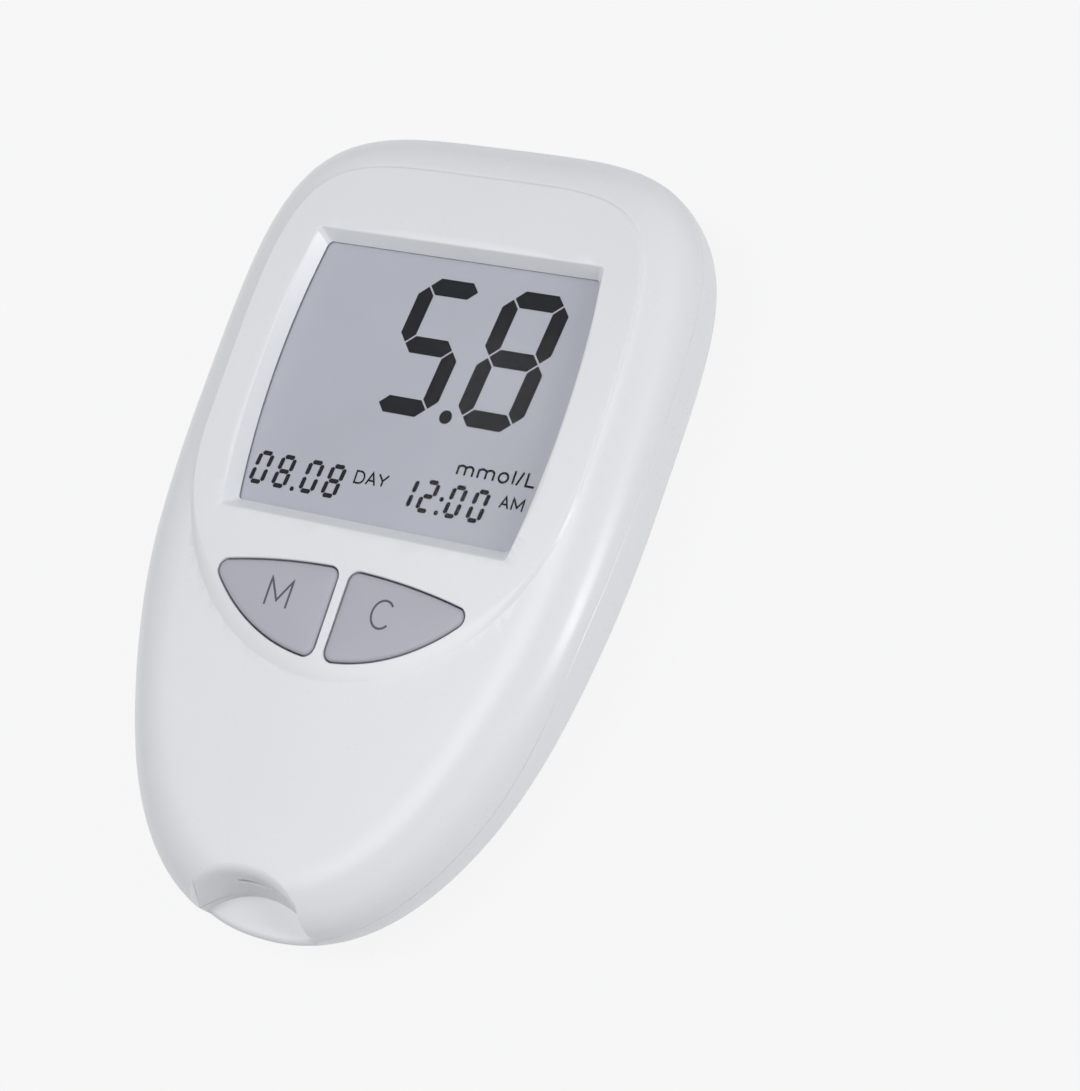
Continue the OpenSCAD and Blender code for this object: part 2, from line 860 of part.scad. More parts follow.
module circuit_board() {
    color("seagreen")
        difference() {
            face_plate(board_depth, board_depth + board_t)
                intersection() {
                    polygon(egg_outline(case_egg, board_inset));
                    translate([-big / 2, board_tail]) square([big, big]);
                }
            for (p = case_screws_at)
                translate([p[0], p[1], 0])
                    cylinder(r = boss_r + 2 * screw_gap, h = case_t);
            for (p = board_screws_at)
                on_face()
                    translate([p[0], p[1], -board_depth - board_t - 1])
                        cylinder(r = board_screw_r + screw_gap, h = board_t + 2);
        }
}

module under_board(at) {
    on_face()
        translate([at[0], at[1], -board_depth - board_t])
            mirror([0, 0, 1])
                children();
}

module over_board(at) {
    on_face()
        translate([at[0], at[1], -board_depth])
            children();
}

// Chip of a given size with rows of legs on two sides, or on all four
module chip(size, legs, four) {
    foot = 0.12;
    leg = [0.9, 0.3, 0.3];
    span = size[1] - 1;
    reach = size[0] / 2 + 0.25;
    translate([-size[0] / 2, -size[1] / 2, foot])
        cube([size[0], size[1], size[2] - foot]);
    for (side = [-1, 1], i = [0 : legs - 1])
        let (along = i * span / (legs - 1) - span / 2) {
            translate([side * reach - leg[0] / 2, along - leg[1] / 2, 0])
                cube(leg);
            if (four)
                translate([along - leg[1] / 2, side * reach - leg[0] / 2, 0])
                    cube([leg[1], leg[0], leg[2]]);
        }
}

module microcontroller() {
    color("dimgray")
        under_board(microcontroller_at)
            chip([7, 7, 1.3], 10, true);
}

module memory_chip() {
    color("dimgray")
        under_board(memory_at)
            chip([4, 5, 1.4], 4, false);
}

module analogue_chip() {
    color("dimgray")
        over_board(analogue_at)
            chip([4, 4.4, 1.2], 5, false);
}

module quartz_crystal() {
    can_r = 0.8;
    can_l = 6;
    color("silver")
        under_board(crystal_at)
            translate([-can_l / 2, 0, can_r])
                rotate([0, 90, 0])
                    cylinder(r = can_r, h = can_l);
}

module buzzer() {
    color("black")
        under_board(buzzer_at)
            difference() {
                cylinder(r = 4.5, h = 2);
                translate([0, 0, 1.2]) cylinder(r = 1, h = 1);
            }
}

module small_parts(places, size) {
    for (p = places)
        over_board(p)
            translate([-size[0] / 2, -size[1] / 2, 0])
                cube(size);
}

module capacitors() {
    color("tan")
        small_parts(capacitors_at, [1.2, 2, 1.1]);
}

module resistors() {
    color("black")
        small_parts(resistors_at, [0.8, 1.6, 0.5]);
}

module thermistor() {
    color("orange")
        small_parts([thermistor_at], [0.9, 1.7, 0.9]);
}

// ---- Strip port ----

socket_l = 8.4;
socket_hw = strip_w / 2 + 1.8;
socket_y = board_tail + 0.2;
socket_room = 0.05;
socket_h = board_depth - face_drop(socket_y) - skin_depth - socket_room;
strip_depth = board_depth - 1.5;
contact_n = 3;
contact_pitch = 1.2;
contact_w = 0.4;
contact_room = 0.15;

function contact_x(i) = (i - (contact_n - 1) / 2) * contact_pitch;

// Body that guides the strip over the contacts
module strip_socket() {
    back_wall = 0.8;
    color("ivory")
        difference() {
            over_board([-socket_hw, socket_y])
                cube([2 * socket_hw, socket_l, socket_h]);
            on_face()
                translate([-strip_w / 2 - strip_gap, socket_y - 1, -strip_depth - strip_gap])
                    cube([strip_w + 2 * strip_gap, socket_l + 1 - back_wall, strip_t + 2 * strip_gap]);
            for (i = [0 : contact_n - 1])
                over_board([contact_x(i) - contact_w / 2 - contact_room, socket_y + 2.2])
                    translate([0, 0, -slack])
                        cube([contact_w + 2 * contact_room, socket_l, strip_t + 1.1]);
        }
}

// Springs that rub on the strip, with their tails on the board
module strip_contacts() {
    color("gold")
        for (i = [0 : contact_n - 1])
            over_board([contact_x(i) - contact_w / 2, socket_y])
                rotate([90, 0, 90])
                    linear_extrude(height = contact_w)
                        polygon([[socket_l + 1.6, 0], [socket_l + 1.6, 0.2], [socket_l + 0.3, 0.2],
                            [socket_l - 0.6, 0.8], [3.6, 1.2], [2.8, 0.9], [2.8, 0.7],
                            [3.6, 1], [socket_l - 0.7, 0.6], [socket_l + 0.2, 0]]);
}

// ---- Battery ----

module coin_cell() {
    color("silver")
        translate([0, cell_y, cell_z]) {
            cylinder(r = cell_r, h = cell_t - 0.4);
            cylinder(r = cell_r - 1.4, h = cell_t);
        }
}

// Width of the two contact leaves, and the room beside them
leaf_w = 4;
leaf_room = 0.3;

// Pocket in the bay's side for the plus contact, open to the cell
module plus_pocket() {
    translate([cell_r - 2, cell_y - leaf_w / 2 - 2 * leaf_room, door_t + 0.1])
        cube([3.4, leaf_w + 4 * leaf_room, bay_top]);
}

// Slot in the bay's ceiling for the minus spring's leg
module minus_slot() {
    translate([-leaf_w / 2 - leaf_room, cell_y + 6.4, ceiling_z - 1])
        cube([leaf_w + 2 * leaf_room, 1, 3]);
}

board_under_z = plane_z(cell_y) - board_depth - board_t;

// Leaf that presses on the cell's rim and stands up to the board
module battery_plus_clip() {
    out = cell_r + cell_gap + spare;
    touch = cell_r + 0.06;
    top = board_under_z - 0.15;
    color("silver")
        translate([0, cell_y + leaf_w / 2, 0])
            rotate([90, 0, 0])
                linear_extrude(height = leaf_w)
                    polygon([[out, cell_z], [out + leaf_t, cell_z], [out + leaf_t, top],
                        [out, top], [out, cell_z + 3], [touch, cell_z + 1.5],
                        [touch, cell_z + 1.3]]);
}

// Leaf under the bay's ceiling that presses on the cell's minus face
module battery_minus_spring() {
    touch = cell_z + cell_t + 0.02;
    top = board_under_z - 0.15;
    color("silver")
        translate([leaf_w / 2, cell_y, 0])
            rotate([90, 0, -90])
                linear_extrude(height = leaf_w)
                    polygon([[-7, top], [-7, ceiling_z - leaf_t], [-4, ceiling_z - leaf_t],
                        [3, touch], [4, touch], [4, touch + leaf_t], [3, touch + leaf_t],
                        [-4, ceiling_z - slack], [leaf_t - 7, ceiling_z - slack],
                        [leaf_t - 7, top]]);
}

// ---- Screws ----

// Screw standing on its head, with a crossed slot
module screw(shank_r, head_r, head_h, length) {
    slot_w = 0.3;
    slot_l = 1.2 * head_r;
    difference() {
        union() {
            cylinder(r = head_r, h = head_h);
            cylinder(r = shank_r, h = length);
        }
        for (a = [0, 90])
            rotate([0, 0, a])
                translate([-slot_l / 2, -slot_w / 2, -slack])
                    cube([slot_l, slot_w, 0.6 * head_h]);
    }
}

module case_screws() {
    color("silver")
        for (p = case_screws_at)
            translate([p[0], p[1], head_z])
                screw(case_screw_r, case_head_r, head_t, boss_meet + case_bite - head_z);
}

module board_screws() {
    color("silver")
        for (p = board_screws_at)
            on_face()
                translate([p[0], p[1], -board_depth - board_t - board_head_t])
                    screw(board_screw_r, board_head_r, board_head_t, board_head_t + board_t + board_bite);
}

front_case();
rear_case();
battery_door();
display_window();
window_tape();
lcd_front_glass();
lcd_back_glass();
lcd_reflector();
lcd_frame();
zebra_strip();
left_key();
right_key();
left_dome();
right_dome();
circuit_board();
microcontroller();
memory_chip();
analogue_chip();
quartz_crystal();
buzzer();
capacitors();
resistors();
thermistor();
strip_socket();
strip_contacts();
coin_cell();
battery_plus_clip();
battery_minus_spring();
case_screws();
board_screws();
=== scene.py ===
# %% [markdown]
# # A blood glucose meter
# The meter is a palm-sized case of two moulded shells. Its face carries a sunk display and two
# keys, and a scoop at the narrow end opens onto the slot for a test strip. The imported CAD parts
# are the frame of this lesson: their sizes and joints stay, and Blender adds finer skins,
# finishes and light round them. Sizes are written in millimetres here, and each mesh is scaled to
# metres when the piece is finished.

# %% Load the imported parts
import math

import bmesh
import bpy
from mathutils import Matrix, Vector
from mathutils.bvhtree import BVHTree


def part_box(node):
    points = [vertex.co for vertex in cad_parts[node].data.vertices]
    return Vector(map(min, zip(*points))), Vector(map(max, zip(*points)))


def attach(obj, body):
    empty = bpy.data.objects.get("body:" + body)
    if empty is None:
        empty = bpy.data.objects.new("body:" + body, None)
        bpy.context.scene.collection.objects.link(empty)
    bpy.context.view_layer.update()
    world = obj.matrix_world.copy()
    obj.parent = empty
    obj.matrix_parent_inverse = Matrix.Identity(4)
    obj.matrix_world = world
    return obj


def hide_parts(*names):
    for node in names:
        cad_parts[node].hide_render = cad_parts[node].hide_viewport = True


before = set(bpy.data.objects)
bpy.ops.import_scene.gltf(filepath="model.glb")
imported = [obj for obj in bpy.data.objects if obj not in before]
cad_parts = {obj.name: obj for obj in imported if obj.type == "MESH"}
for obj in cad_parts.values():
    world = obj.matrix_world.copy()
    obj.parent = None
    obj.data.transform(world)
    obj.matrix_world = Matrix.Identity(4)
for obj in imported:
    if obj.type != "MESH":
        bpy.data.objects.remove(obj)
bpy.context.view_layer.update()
MM = 0.001

# %% [markdown]
# ## Camera
# A product photographer stands back with a long lens, so that a small object shows little
# perspective. The camera's place, its aim and its lens were worked out from the case's outline,
# whose three sizes are known. Writing the aim as two directions keeps it free of angles that are
# hard to read.

# %% Where the camera stands
PHOTO_HEIGHT = 1091
FOCAL_PIXELS = 3252.4
SENSOR = 36.0
CAMERA_AT = Vector((180.37, -68.18, 265.81)) * MM
CAMERA_RIGHT = Vector((0.83675, 0.32338, -0.44190))
CAMERA_BACK = Vector((0.52141, -0.22403, 0.82337))
NEAREST_SEEN = 10 * MM
print("the camera stands", round(CAMERA_AT.length, 3), "m from the middle of the back")

# %% Camera


def make_camera():
    lens = bpy.data.cameras.new("camera")
    lens.sensor_width = SENSOR
    lens.lens = FOCAL_PIXELS * SENSOR / PHOTO_HEIGHT
    lens.clip_start = NEAREST_SEEN
    camera = bpy.data.objects.new("camera", lens)
    up = CAMERA_BACK.cross(CAMERA_RIGHT)
    axes = Matrix((CAMERA_RIGHT, up, CAMERA_BACK)).transposed()
    camera.matrix_world = Matrix.Translation(CAMERA_AT) @ axes.to_4x4()
    bpy.context.scene.collection.objects.link(camera)
    bpy.context.scene.camera = camera
    return camera


camera = make_camera()
print("lens:", round(camera.data.lens, 1), "mm")

# %% [markdown]
# ## A white room that stays dim
# The photograph was taken on white. A room as bright as its backdrop looks would wash the white
# plastic out, since light would reach it from every side. Instead the Light Path node shows a
# white room to the camera, and everything is lit by a much dimmer one, which fills every side
# with a soft, even light.

# %% Rays that see the white backdrop
BACKDROP_COLOR = (1, 1, 1, 1)
DIRECT_RAYS = ("Is Camera Ray", "Is Transmission Ray", "Is Glossy Ray")


def seen_directly(nodes, links, rays=DIRECT_RAYS):
    """1 for the named kinds of ray, and 0 for light that bounces off a dull surface."""
    path = nodes.new("ShaderNodeLightPath")
    value = path.outputs[rays[0]]
    for ray in rays[1:]:
        either = nodes.new("ShaderNodeMath")
        either.operation = "MAXIMUM"
        links.new(value, either.inputs[0])
        links.new(path.outputs[ray], either.inputs[1])
        value = either.outputs[0]
    return value


print("rays that see the backdrop:", ", ".join(DIRECT_RAYS))

# %% Room
ROOM_COLOR = (0.965, 0.98, 1, 1)
BRIGHT_SIDE = (0.85, 0, 0.53)
BRIGHTENS_FROM = -0.25
ROOM_DARKEST = 0.36
ROOM_BRIGHTEST = 0.4


def make_room():
    world = bpy.data.worlds.new("room")
    world.use_nodes = True
    bpy.context.scene.world = world
    nodes, links = world.node_tree.nodes, world.node_tree.links
    nodes.clear()
    light = nodes.new("ShaderNodeBackground")
    light.inputs["Color"].default_value = ROOM_COLOR
    place = nodes.new("ShaderNodeTexCoord")
    towards = nodes.new("ShaderNodeVectorMath")
    towards.operation = "DOT_PRODUCT"
    towards.inputs[1].default_value = BRIGHT_SIDE
    links.new(place.outputs["Generated"], towards.inputs[0])
    level = nodes.new("ShaderNodeMapRange")
    level.inputs["From Min"].default_value = BRIGHTENS_FROM
    level.inputs["To Min"].default_value = ROOM_DARKEST
    level.inputs["To Max"].default_value = ROOM_BRIGHTEST
    links.new(towards.outputs["Value"], level.inputs["Value"])
    links.new(level.outputs["Result"], light.inputs["Strength"])
    backdrop = nodes.new("ShaderNodeBackground")
    backdrop.inputs["Color"].default_value = BACKDROP_COLOR
    mix = nodes.new("ShaderNodeMixShader")
    links.new(seen_directly(nodes, links, DIRECT_RAYS[:2]), mix.inputs["Fac"])
    links.new(light.outputs[0], mix.inputs[1])
    links.new(backdrop.outputs[0], mix.inputs[2])
    output = nodes.new("ShaderNodeOutputWorld")
    links.new(mix.outputs[0], output.inputs["Surface"])


make_room()
print("the room's light goes from", ROOM_DARKEST, "to", ROOM_BRIGHTEST)

# %% [markdown]
# ## Lamps
# White plastic shows its shape only if some sides get less light than others. A big soft panel
# hangs above, a little to the left, and lights the face evenly. A narrow one low at the right
# draws the bright line along the shoulder. Area lamps are used because a panel's size is what
# makes a shadow soft.

# %% Lamps
MIDDLE = Vector((0, 0, 0))


def make_panel_light(name, place, width, height, power):
    lamp = bpy.data.lights.new(name, "AREA")
    lamp.shape = "RECTANGLE"
    lamp.size = width
    lamp.size_y = height
    lamp.energy = power
    holder = bpy.data.objects.new(name, lamp)
    aim = Vector(place) - MIDDLE
    facing = aim.to_track_quat("Z", "Y").to_matrix().to_4x4()
    holder.matrix_world = Matrix.Translation(place) @ facing
    bpy.context.scene.collection.objects.link(holder)


make_panel_light("overhead_panel", (-0.3, 0.0, 0.88), width=0.5, height=0.5, power=3.3)
make_panel_light("side_panel", (0.73, 0.0, 0.18), width=0.15, height=0.6, power=3.0)
bpy.context.scene.view_settings.view_transform = "Standard"

# %% [markdown]
# ## Floor
# The meter lies on pale paper. The paper's shader is mostly a plain glow for the camera, so that
# it comes out as white as the photograph's, mixed with real paper that still takes the meter's
# soft shadow. The sheet lies a hair below the back, because two surfaces in one plane would
# flicker through each other.

# %% Floor
FLOOR_SIZE = 6.0
FLOOR_DROP = 0.05 * MM
FLOOR_COLOR = (0.5, 0.505, 0.51, 1)
FLOOR_GLOW = 0.88


def make_floor():
    half = FLOOR_SIZE / 2
    mesh = bpy.data.meshes.new("floor")
    corners = ((-half, -half), (half, -half), (half, half), (-half, half))
    mesh.from_pydata([(x, y, -FLOOR_DROP) for x, y in corners], [], [(0, 1, 2, 3)])
    floor = bpy.data.objects.new("floor", mesh)
    bpy.context.scene.collection.objects.link(floor)
    material = bpy.data.materials.new("floor_paper")
    material.use_nodes = True
    nodes, links = material.node_tree.nodes, material.node_tree.links
    nodes.clear()
    paper = nodes.new("ShaderNodeBsdfDiffuse")
    paper.inputs["Color"].default_value = FLOOR_COLOR
    glow = nodes.new("ShaderNodeEmission")
    glow.inputs["Color"].default_value = BACKDROP_COLOR
    share = nodes.new("ShaderNodeMath")
    share.operation = "MULTIPLY"
    share.inputs[1].default_value = FLOOR_GLOW
    links.new(seen_directly(nodes, links), share.inputs[0])
    mix = nodes.new("ShaderNodeMixShader")
    links.new(share.outputs[0], mix.inputs["Fac"])
    links.new(paper.outputs[0], mix.inputs[1])
    links.new(glow.outputs[0], mix.inputs[2])
    output = nodes.new("ShaderNodeOutputMaterial")
    links.new(mix.outputs[0], output.inputs["Surface"])
    mesh.materials.append(material)


make_floor()
print("floor:", FLOOR_SIZE, "m across")

# %% [markdown]
# ## Finishes
# Most of the meter is moulded plastic. Plastic never has quite one colour or one gloss: the
# mould's surface leaves a fine grain, and the resin varies a little over a palm's width. So each
# finish is one shader whose colour, gloss and bump come from noise at two scales. Metal gets the
# same, with its noise drawn out along one direction as brushing or rolling leaves it.

# %% Colours as a screen writes them


def srgb(red, green, blue):
    """A screen's colour, from 0 to 255, as the linear values that shaders use."""
    def linear(value):
        value = value / 255
        return value / 12.92 if value <= 0.04045 else ((value + 0.055) / 1.055) ** 2.4
    return (linear(red), linear(green), linear(blue), 1)


print("middle grey in a shader:", round(srgb(128, 128, 128)[0], 3))

# %% Noise that varies a finish
NOISE_LOW, NOISE_HIGH = 0.3, 0.7


def noise_value(tree, grain_mm, stretch=(1, 1, 1), detail=3.0):
    """Noise in the object's own space, with grains of a given size in millimetres."""
    place = tree.nodes.new("ShaderNodeTexCoord")
    mapping = tree.nodes.new("ShaderNodeMapping")
    mapping.inputs["Scale"].default_value = stretch
    noise = tree.nodes.new("ShaderNodeTexNoise")
    noise.inputs["Scale"].default_value = 1 / (grain_mm * MM)
    noise.inputs["Detail"].default_value = detail
    tree.links.new(place.outputs["Object"], mapping.inputs["Vector"])
    tree.links.new(mapping.outputs["Vector"], noise.inputs["Vector"])
    return noise.outputs["Fac"]


def spread(tree, value, low, high):
    """Maps noise, which stays between about 0.3 and 0.7, onto a range."""
    remap = tree.nodes.new("ShaderNodeMapRange")
    remap.inputs["From Min"].default_value = NOISE_LOW
    remap.inputs["From Max"].default_value = NOISE_HIGH
    remap.inputs["To Min"].default_value = low
    remap.inputs["To Max"].default_value = high
    tree.links.new(value, remap.inputs["Value"])
    return remap.outputs["Result"]


print("a grain of 0.25 mm is a noise scale of", round(1 / (0.25 * MM)))

# %% One function for every finish
GLOSS_CHANGE = 0.1
MICRON = 0.001 * MM


def make_finish(name, color, roughness, mottle=0.03, cloud_mm=9.0, grain_mm=0.25, grain_um=1.0,
                stretch=(1, 1, 1), **sockets):
    """Noise-varied shader. mottle is the colour's share of change, grain_um the grain's height."""
    material = bpy.data.materials.new(name)
    material.use_nodes = True
    tree = material.node_tree
    shader = tree.nodes["Principled BSDF"]
    cloud = noise_value(tree, cloud_mm)
    grain = noise_value(tree, grain_mm, stretch)
    blend = tree.nodes.new("ShaderNodeMix")
    blend.data_type = "RGBA"
    blend.inputs["A"].default_value = [c * (1 - mottle) for c in color[:3]] + [1]
    blend.inputs["B"].default_value = [min(1, c * (1 + mottle)) for c in color[:3]] + [1]
    tree.links.new(spread(tree, cloud, 0, 1), blend.inputs["Factor"])
    tree.links.new(blend.outputs["Result"], shader.inputs["Base Color"])
    gloss = spread(tree, grain, roughness * (1 - GLOSS_CHANGE), roughness * (1 + GLOSS_CHANGE))
    tree.links.new(gloss, shader.inputs["Roughness"])
    bump = tree.nodes.new("ShaderNodeBump")
    bump.inputs["Strength"].default_value = 1.0
    bump.inputs["Distance"].default_value = grain_um * MICRON
    tree.links.new(grain, bump.inputs["Height"])
    tree.links.new(bump.outputs["Normal"], shader.inputs["Normal"])
    for socket, value in sockets.items():
        shader.inputs[socket.replace("_", " ")].default_value = value
    return material


print("a grain one micron high is", MICRON, "m to Blender")

# %% Plastics of the case
BRUSHED = (1, 12, 12)
finish = {}


def add_finish(name, color, roughness, **more):
    finish[name] = make_finish(name, srgb(*color), roughness, **more)


add_finish("case_plastic", (234, 236, 239), 0.3, mottle=0.008, cloud_mm=14)
add_finish("key_plastic", (180, 180, 191), 0.42, mottle=0.012)
add_finish("frame_plastic", (228, 228, 226), 0.5)
add_finish("socket_plastic", (236, 230, 212), 0.45)
print("plastics:", sorted(finish))

# %% Display and ink
add_finish("lcd_glass", (200, 203, 214), 0.5, mottle=0.025, cloud_mm=12, grain_um=0.1)
add_finish("reflector_film", (200, 202, 206), 0.3, stretch=BRUSHED, Metallic=0.9)
add_finish("tape_black", (96, 98, 104), 0.6)
add_finish("zebra_rubber", (70, 74, 80), 0.7, mottle=0.3, cloud_mm=0.1, stretch=(9, 1, 1))
add_finish("lcd_ink", (12, 12, 16), 0.6, mottle=0.1, cloud_mm=2, grain_um=0.1,
           Specular_IOR_Level=0.2)
add_finish("letter_ink", (82, 82, 92), 0.5, mottle=0.05, cloud_mm=1)
print("the display's ink is", finish["lcd_ink"].name)

# %% Board and what is soldered on it
add_finish("board_laminate", (28, 110, 62), 0.35, mottle=0.12, cloud_mm=2, grain_um=3)
add_finish("chip_black", (38, 38, 41), 0.55, mottle=0.15, cloud_mm=1.2, grain_um=3)
add_finish("buzzer_black", (32, 32, 35), 0.5, mottle=0.12, cloud_mm=1.5)
add_finish("capacitor_tan", (186, 148, 108), 0.5, mottle=0.08, cloud_mm=0.6)
add_finish("resistor_black", (36, 36, 38), 0.4, mottle=0.15, cloud_mm=0.5)
add_finish("thermistor_bead", (206, 138, 66), 0.3, mottle=0.08, cloud_mm=0.6)
print("finishes so far:", len(finish))

# %% Metals
add_finish("dome_steel", (205, 205, 207), 0.25, stretch=BRUSHED, Metallic=1.0)
add_finish("crystal_can", (212, 212, 212), 0.22, stretch=BRUSHED, Metallic=1.0)
add_finish("contact_gold", (232, 196, 110), 0.25, stretch=BRUSHED, Metallic=1.0)
add_finish("cell_steel", (208, 208, 210), 0.28, stretch=BRUSHED, Metallic=1.0)
add_finish("spring_steel", (204, 204, 204), 0.28, stretch=BRUSHED, Metallic=1.0)
add_finish("screw_steel", (186, 187, 190), 0.32, stretch=(6, 6, 1), Metallic=1.0)
print("finishes:", len(finish))

# %% [markdown]
# ## Clear window
# The window is a thin sheet of acrylic. A real refracting sheet would darken the display by its
# shadow, because light has to find its way through it twice. A mostly see-through shader shows
# the display at its own level, keeps a trace of gloss, and is what a game or a viewer shows for
# glass as well.

# %% Window finish
WINDOW_COLOR = (96, 100, 108)
WINDOW_ALPHA = 0.1
WINDOW_ROUGHNESS = (0.05, 0.1)
WEAR_MM = 3.0


def make_clear_finish():
    material = bpy.data.materials.new("window_clear")
    material.use_nodes = True
    tree = material.node_tree
    shader = tree.nodes["Principled BSDF"]
    shader.inputs["Base Color"].default_value = srgb(*WINDOW_COLOR)
    shader.inputs["Alpha"].default_value = WINDOW_ALPHA
    wear = noise_value(tree, WEAR_MM)
    tree.links.new(spread(tree, wear, *WINDOW_ROUGHNESS), shader.inputs["Roughness"])
    return material


finish["window_clear"] = make_clear_finish()
print("window shows", round(100 * (1 - WINDOW_ALPHA)), "% of what is behind it")

# %% [markdown]
# ## The case's outline and its surfaces
# Seen from the front, the case is an egg: nearly square at the top, almost an ellipse at the
# strip end. A superellipse draws such a line with one number for its squareness, and here the top
# and the strip end have one each. The face falls a little towards the strip end, and so does the
# parting line, on which the two shells meet.

# %% Driving sizes
CASE_LENGTH = 83.0
CASE_WIDTH = 53.0
CASE_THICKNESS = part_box("front_case")[1].z / MM
WIDEST_Y = 9.4
TOP_Y = CASE_LENGTH / 2
TAIL_Y = -CASE_LENGTH / 2
WALL = 1.6
FACE_FALL = 3.1
FACE_CURVE = 1.5
PARTING_TOP = 9.0
PARTING_TAIL = 6.4
PARTING_GAP = 0.04
FALL_FROM = -4.0
FALL_TO = TAIL_Y + 15.5
SHOULDER_WIDTH = 6.0
SHOULDER_SQUARE = 2.4
BELLY_WIDTH = 4.6
ROUND_LOSS = 0.4
PANEL_TOP = TOP_Y - 4.8
PANEL_TAIL = TAIL_Y + 24.8
PANEL_STEP = 0.27
print("case:", CASE_LENGTH, "by", CASE_WIDTH, "by", round(CASE_THICKNESS, 2), "mm")

# %% Egg outline
CASE_SQUARENESS = (4.2, 2.25)
PANEL_SQUARENESS = (5, 2)
PANEL_WIDTH = 45.0
PANEL_WIDEST_Y = WIDEST_Y - 2.6


class Egg:
    """Outline made of two half superellipses that share their widest line."""

    def __init__(self, half_width, widest_y, top_y, tail_y, top_square, tail_square):
        self.half_width = half_width
        self.widest_y = widest_y
        self.top = (top_y - widest_y, top_square)
        self.tail = (widest_y - tail_y, tail_square)

    def point(self, angle, inset=0.0):
        """Point of the outline at an angle round its middle, moved inwards."""
        c, s = math.cos(angle), math.sin(angle)
        height, square = self.top if s >= 0 else self.tail
        across, along = abs(c) / self.half_width, abs(s) / height
        radius = (across ** square + along ** square) ** (-1 / square)
        slope = Vector((
            math.copysign((radius * across) ** (square - 1) / self.half_width, c),
            math.copysign((radius * along) ** (square - 1) / height, s),
        )).normalized()
        return Vector((radius * c, self.widest_y + radius * s)) - inset * slope


case_egg = Egg(CASE_WIDTH / 2, WIDEST_Y, TOP_Y, TAIL_Y, *CASE_SQUARENESS)
panel_egg = Egg(PANEL_WIDTH / 2, PANEL_WIDEST_Y, PANEL_TOP, PANEL_TAIL, *PANEL_SQUARENESS)
print("the case's top corner, at 45 degrees:", [round(v, 2) for v in case_egg.point(math.pi / 4)])

# %% Heights of the face and of the parting line


def face_z(y):
    """Height of the face panel."""
    return CASE_THICKNESS - FACE_FALL * (max(0, PANEL_TOP - y) / CASE_LENGTH) ** FACE_CURVE


def ease(t):
    t = min(1, max(0, t))
    return t * t * (3 - 2 * t)


def parting_z(y):
    """Height of the line on which the shells meet."""
    fall = ease((FALL_FROM - y) / (FALL_FROM - FALL_TO))
    return PARTING_TOP + (PARTING_TAIL - PARTING_TOP) * fall


print("face height at the strip end:", round(face_z(TAIL_Y), 2), "mm")

# %% [markdown]
# ## Scoop and tongue
# At the strip end a finger-wide scoop is cut through the front shell down to a tongue that
# belongs to the rear shell. The cut is a cone whose wall leans outwards, so that the part leaves
# its mould. Both shells need the same cone, so it is defined once.

# %% Scoop
SCOOP_RADIUS = 10.0
SCOOP_REACH = 5.2
SCOOP_SLOPE = math.tan(math.radians(14))
TONGUE_Z = 6.0
TONGUE_SLOPE = math.tan(math.radians(8))
SCOOP_Y = TAIL_Y + SCOOP_REACH - SCOOP_RADIUS - (face_z(TAIL_Y) - TONGUE_Z) * SCOOP_SLOPE


def scoop_point(turn, z, grow=0.0):
    """Point of the cone's wall; turn 0 looks towards the top end."""
    radius = SCOOP_RADIUS + (z - TONGUE_Z) * SCOOP_SLOPE + grow
    return Vector((radius * math.sin(turn), SCOOP_Y + radius * math.cos(turn), z))


def beside_scoop(point, grow=0.0):
    """Distance outside the cone's wall, and less than 0 in the scoop."""
    radius = SCOOP_RADIUS + (point.z - TONGUE_Z) * SCOOP_SLOPE + grow
    return math.hypot(point.x, point.y - SCOOP_Y) - radius


def tongue_z(y):
    return TONGUE_Z + (y - SCOOP_Y - SCOOP_RADIUS) * TONGUE_SLOPE


print("scoop's middle:", round(SCOOP_Y, 2), "mm along Y")

# %% Finding a crossing


def solve(function, low, high, steps=40):
    """Place between low and high where a function changes sign."""
    rising = function(high) > 0
    for _ in range(steps):
        middle = (low + high) / 2
        if (function(middle) > 0) == rising:
            high = middle
        else:
            low = middle
    return (low + high) / 2


print("the tongue drops to", round(tongue_z(TAIL_Y), 2), "mm at the end of the case")

# %% [markdown]
# ## Mesh tools
# A moulded shell is a stack of rings: each ring goes round the case at one level, and quads join
# it to the next. Rings give even, controllable faces where light slides over a rounded edge.
# Openings are then cut with solid tools, as a mould's cores do, because a ring cannot go round a
# hole.

# %% From mesh code to an object


def to_object(name, bm):
    mesh = bpy.data.meshes.new(name)
    bmesh.ops.recalc_face_normals(bm, faces=bm.faces)
    bm.to_mesh(mesh)
    bm.free()
    obj = bpy.data.objects.new(name, mesh)
    bpy.context.scene.collection.objects.link(obj)
    return obj


# %% Stacks of rings
WELD = 0.0005


def solid_of_rings(name, rings):
    """Closed mesh over a stack of rings with as many points each. A ring of one point is a tip."""
    bm = bmesh.new()
    rows = [[bm.verts.new(p) for p in ring] for ring in rings]
    count = len(rows[0])
    for low, high in zip(rows, rows[1:]):
        for i in range(count):
            j = (i + 1) % count
            bm.faces.new((low[i], low[j], high[j], high[i]))
    bmesh.ops.remove_doubles(bm, verts=bm.verts, dist=WELD)
    return to_object(name, bm)


def tip(ring, z=None):
    """Ring drawn together in its own middle."""
    middle = sum((Vector(p) for p in ring), Vector()) / len(ring)
    if z is not None:
        middle.z = z
    return [middle] * len(ring)


def shrunk(ring, share, height):
    """Ring drawn in towards the case's middle, lying on a surface."""
    points = []
    for p in ring:
        y = WIDEST_Y + share * (p[1] - WIDEST_Y)
        points.append(Vector((share * p[0], y, height(y))))
    return points


print("a square's tip:", tuple(tip([(0, 0, 0), (2, 0, 0), (2, 2, 0), (0, 2, 0)])[0]))

# %% Cutting and joining


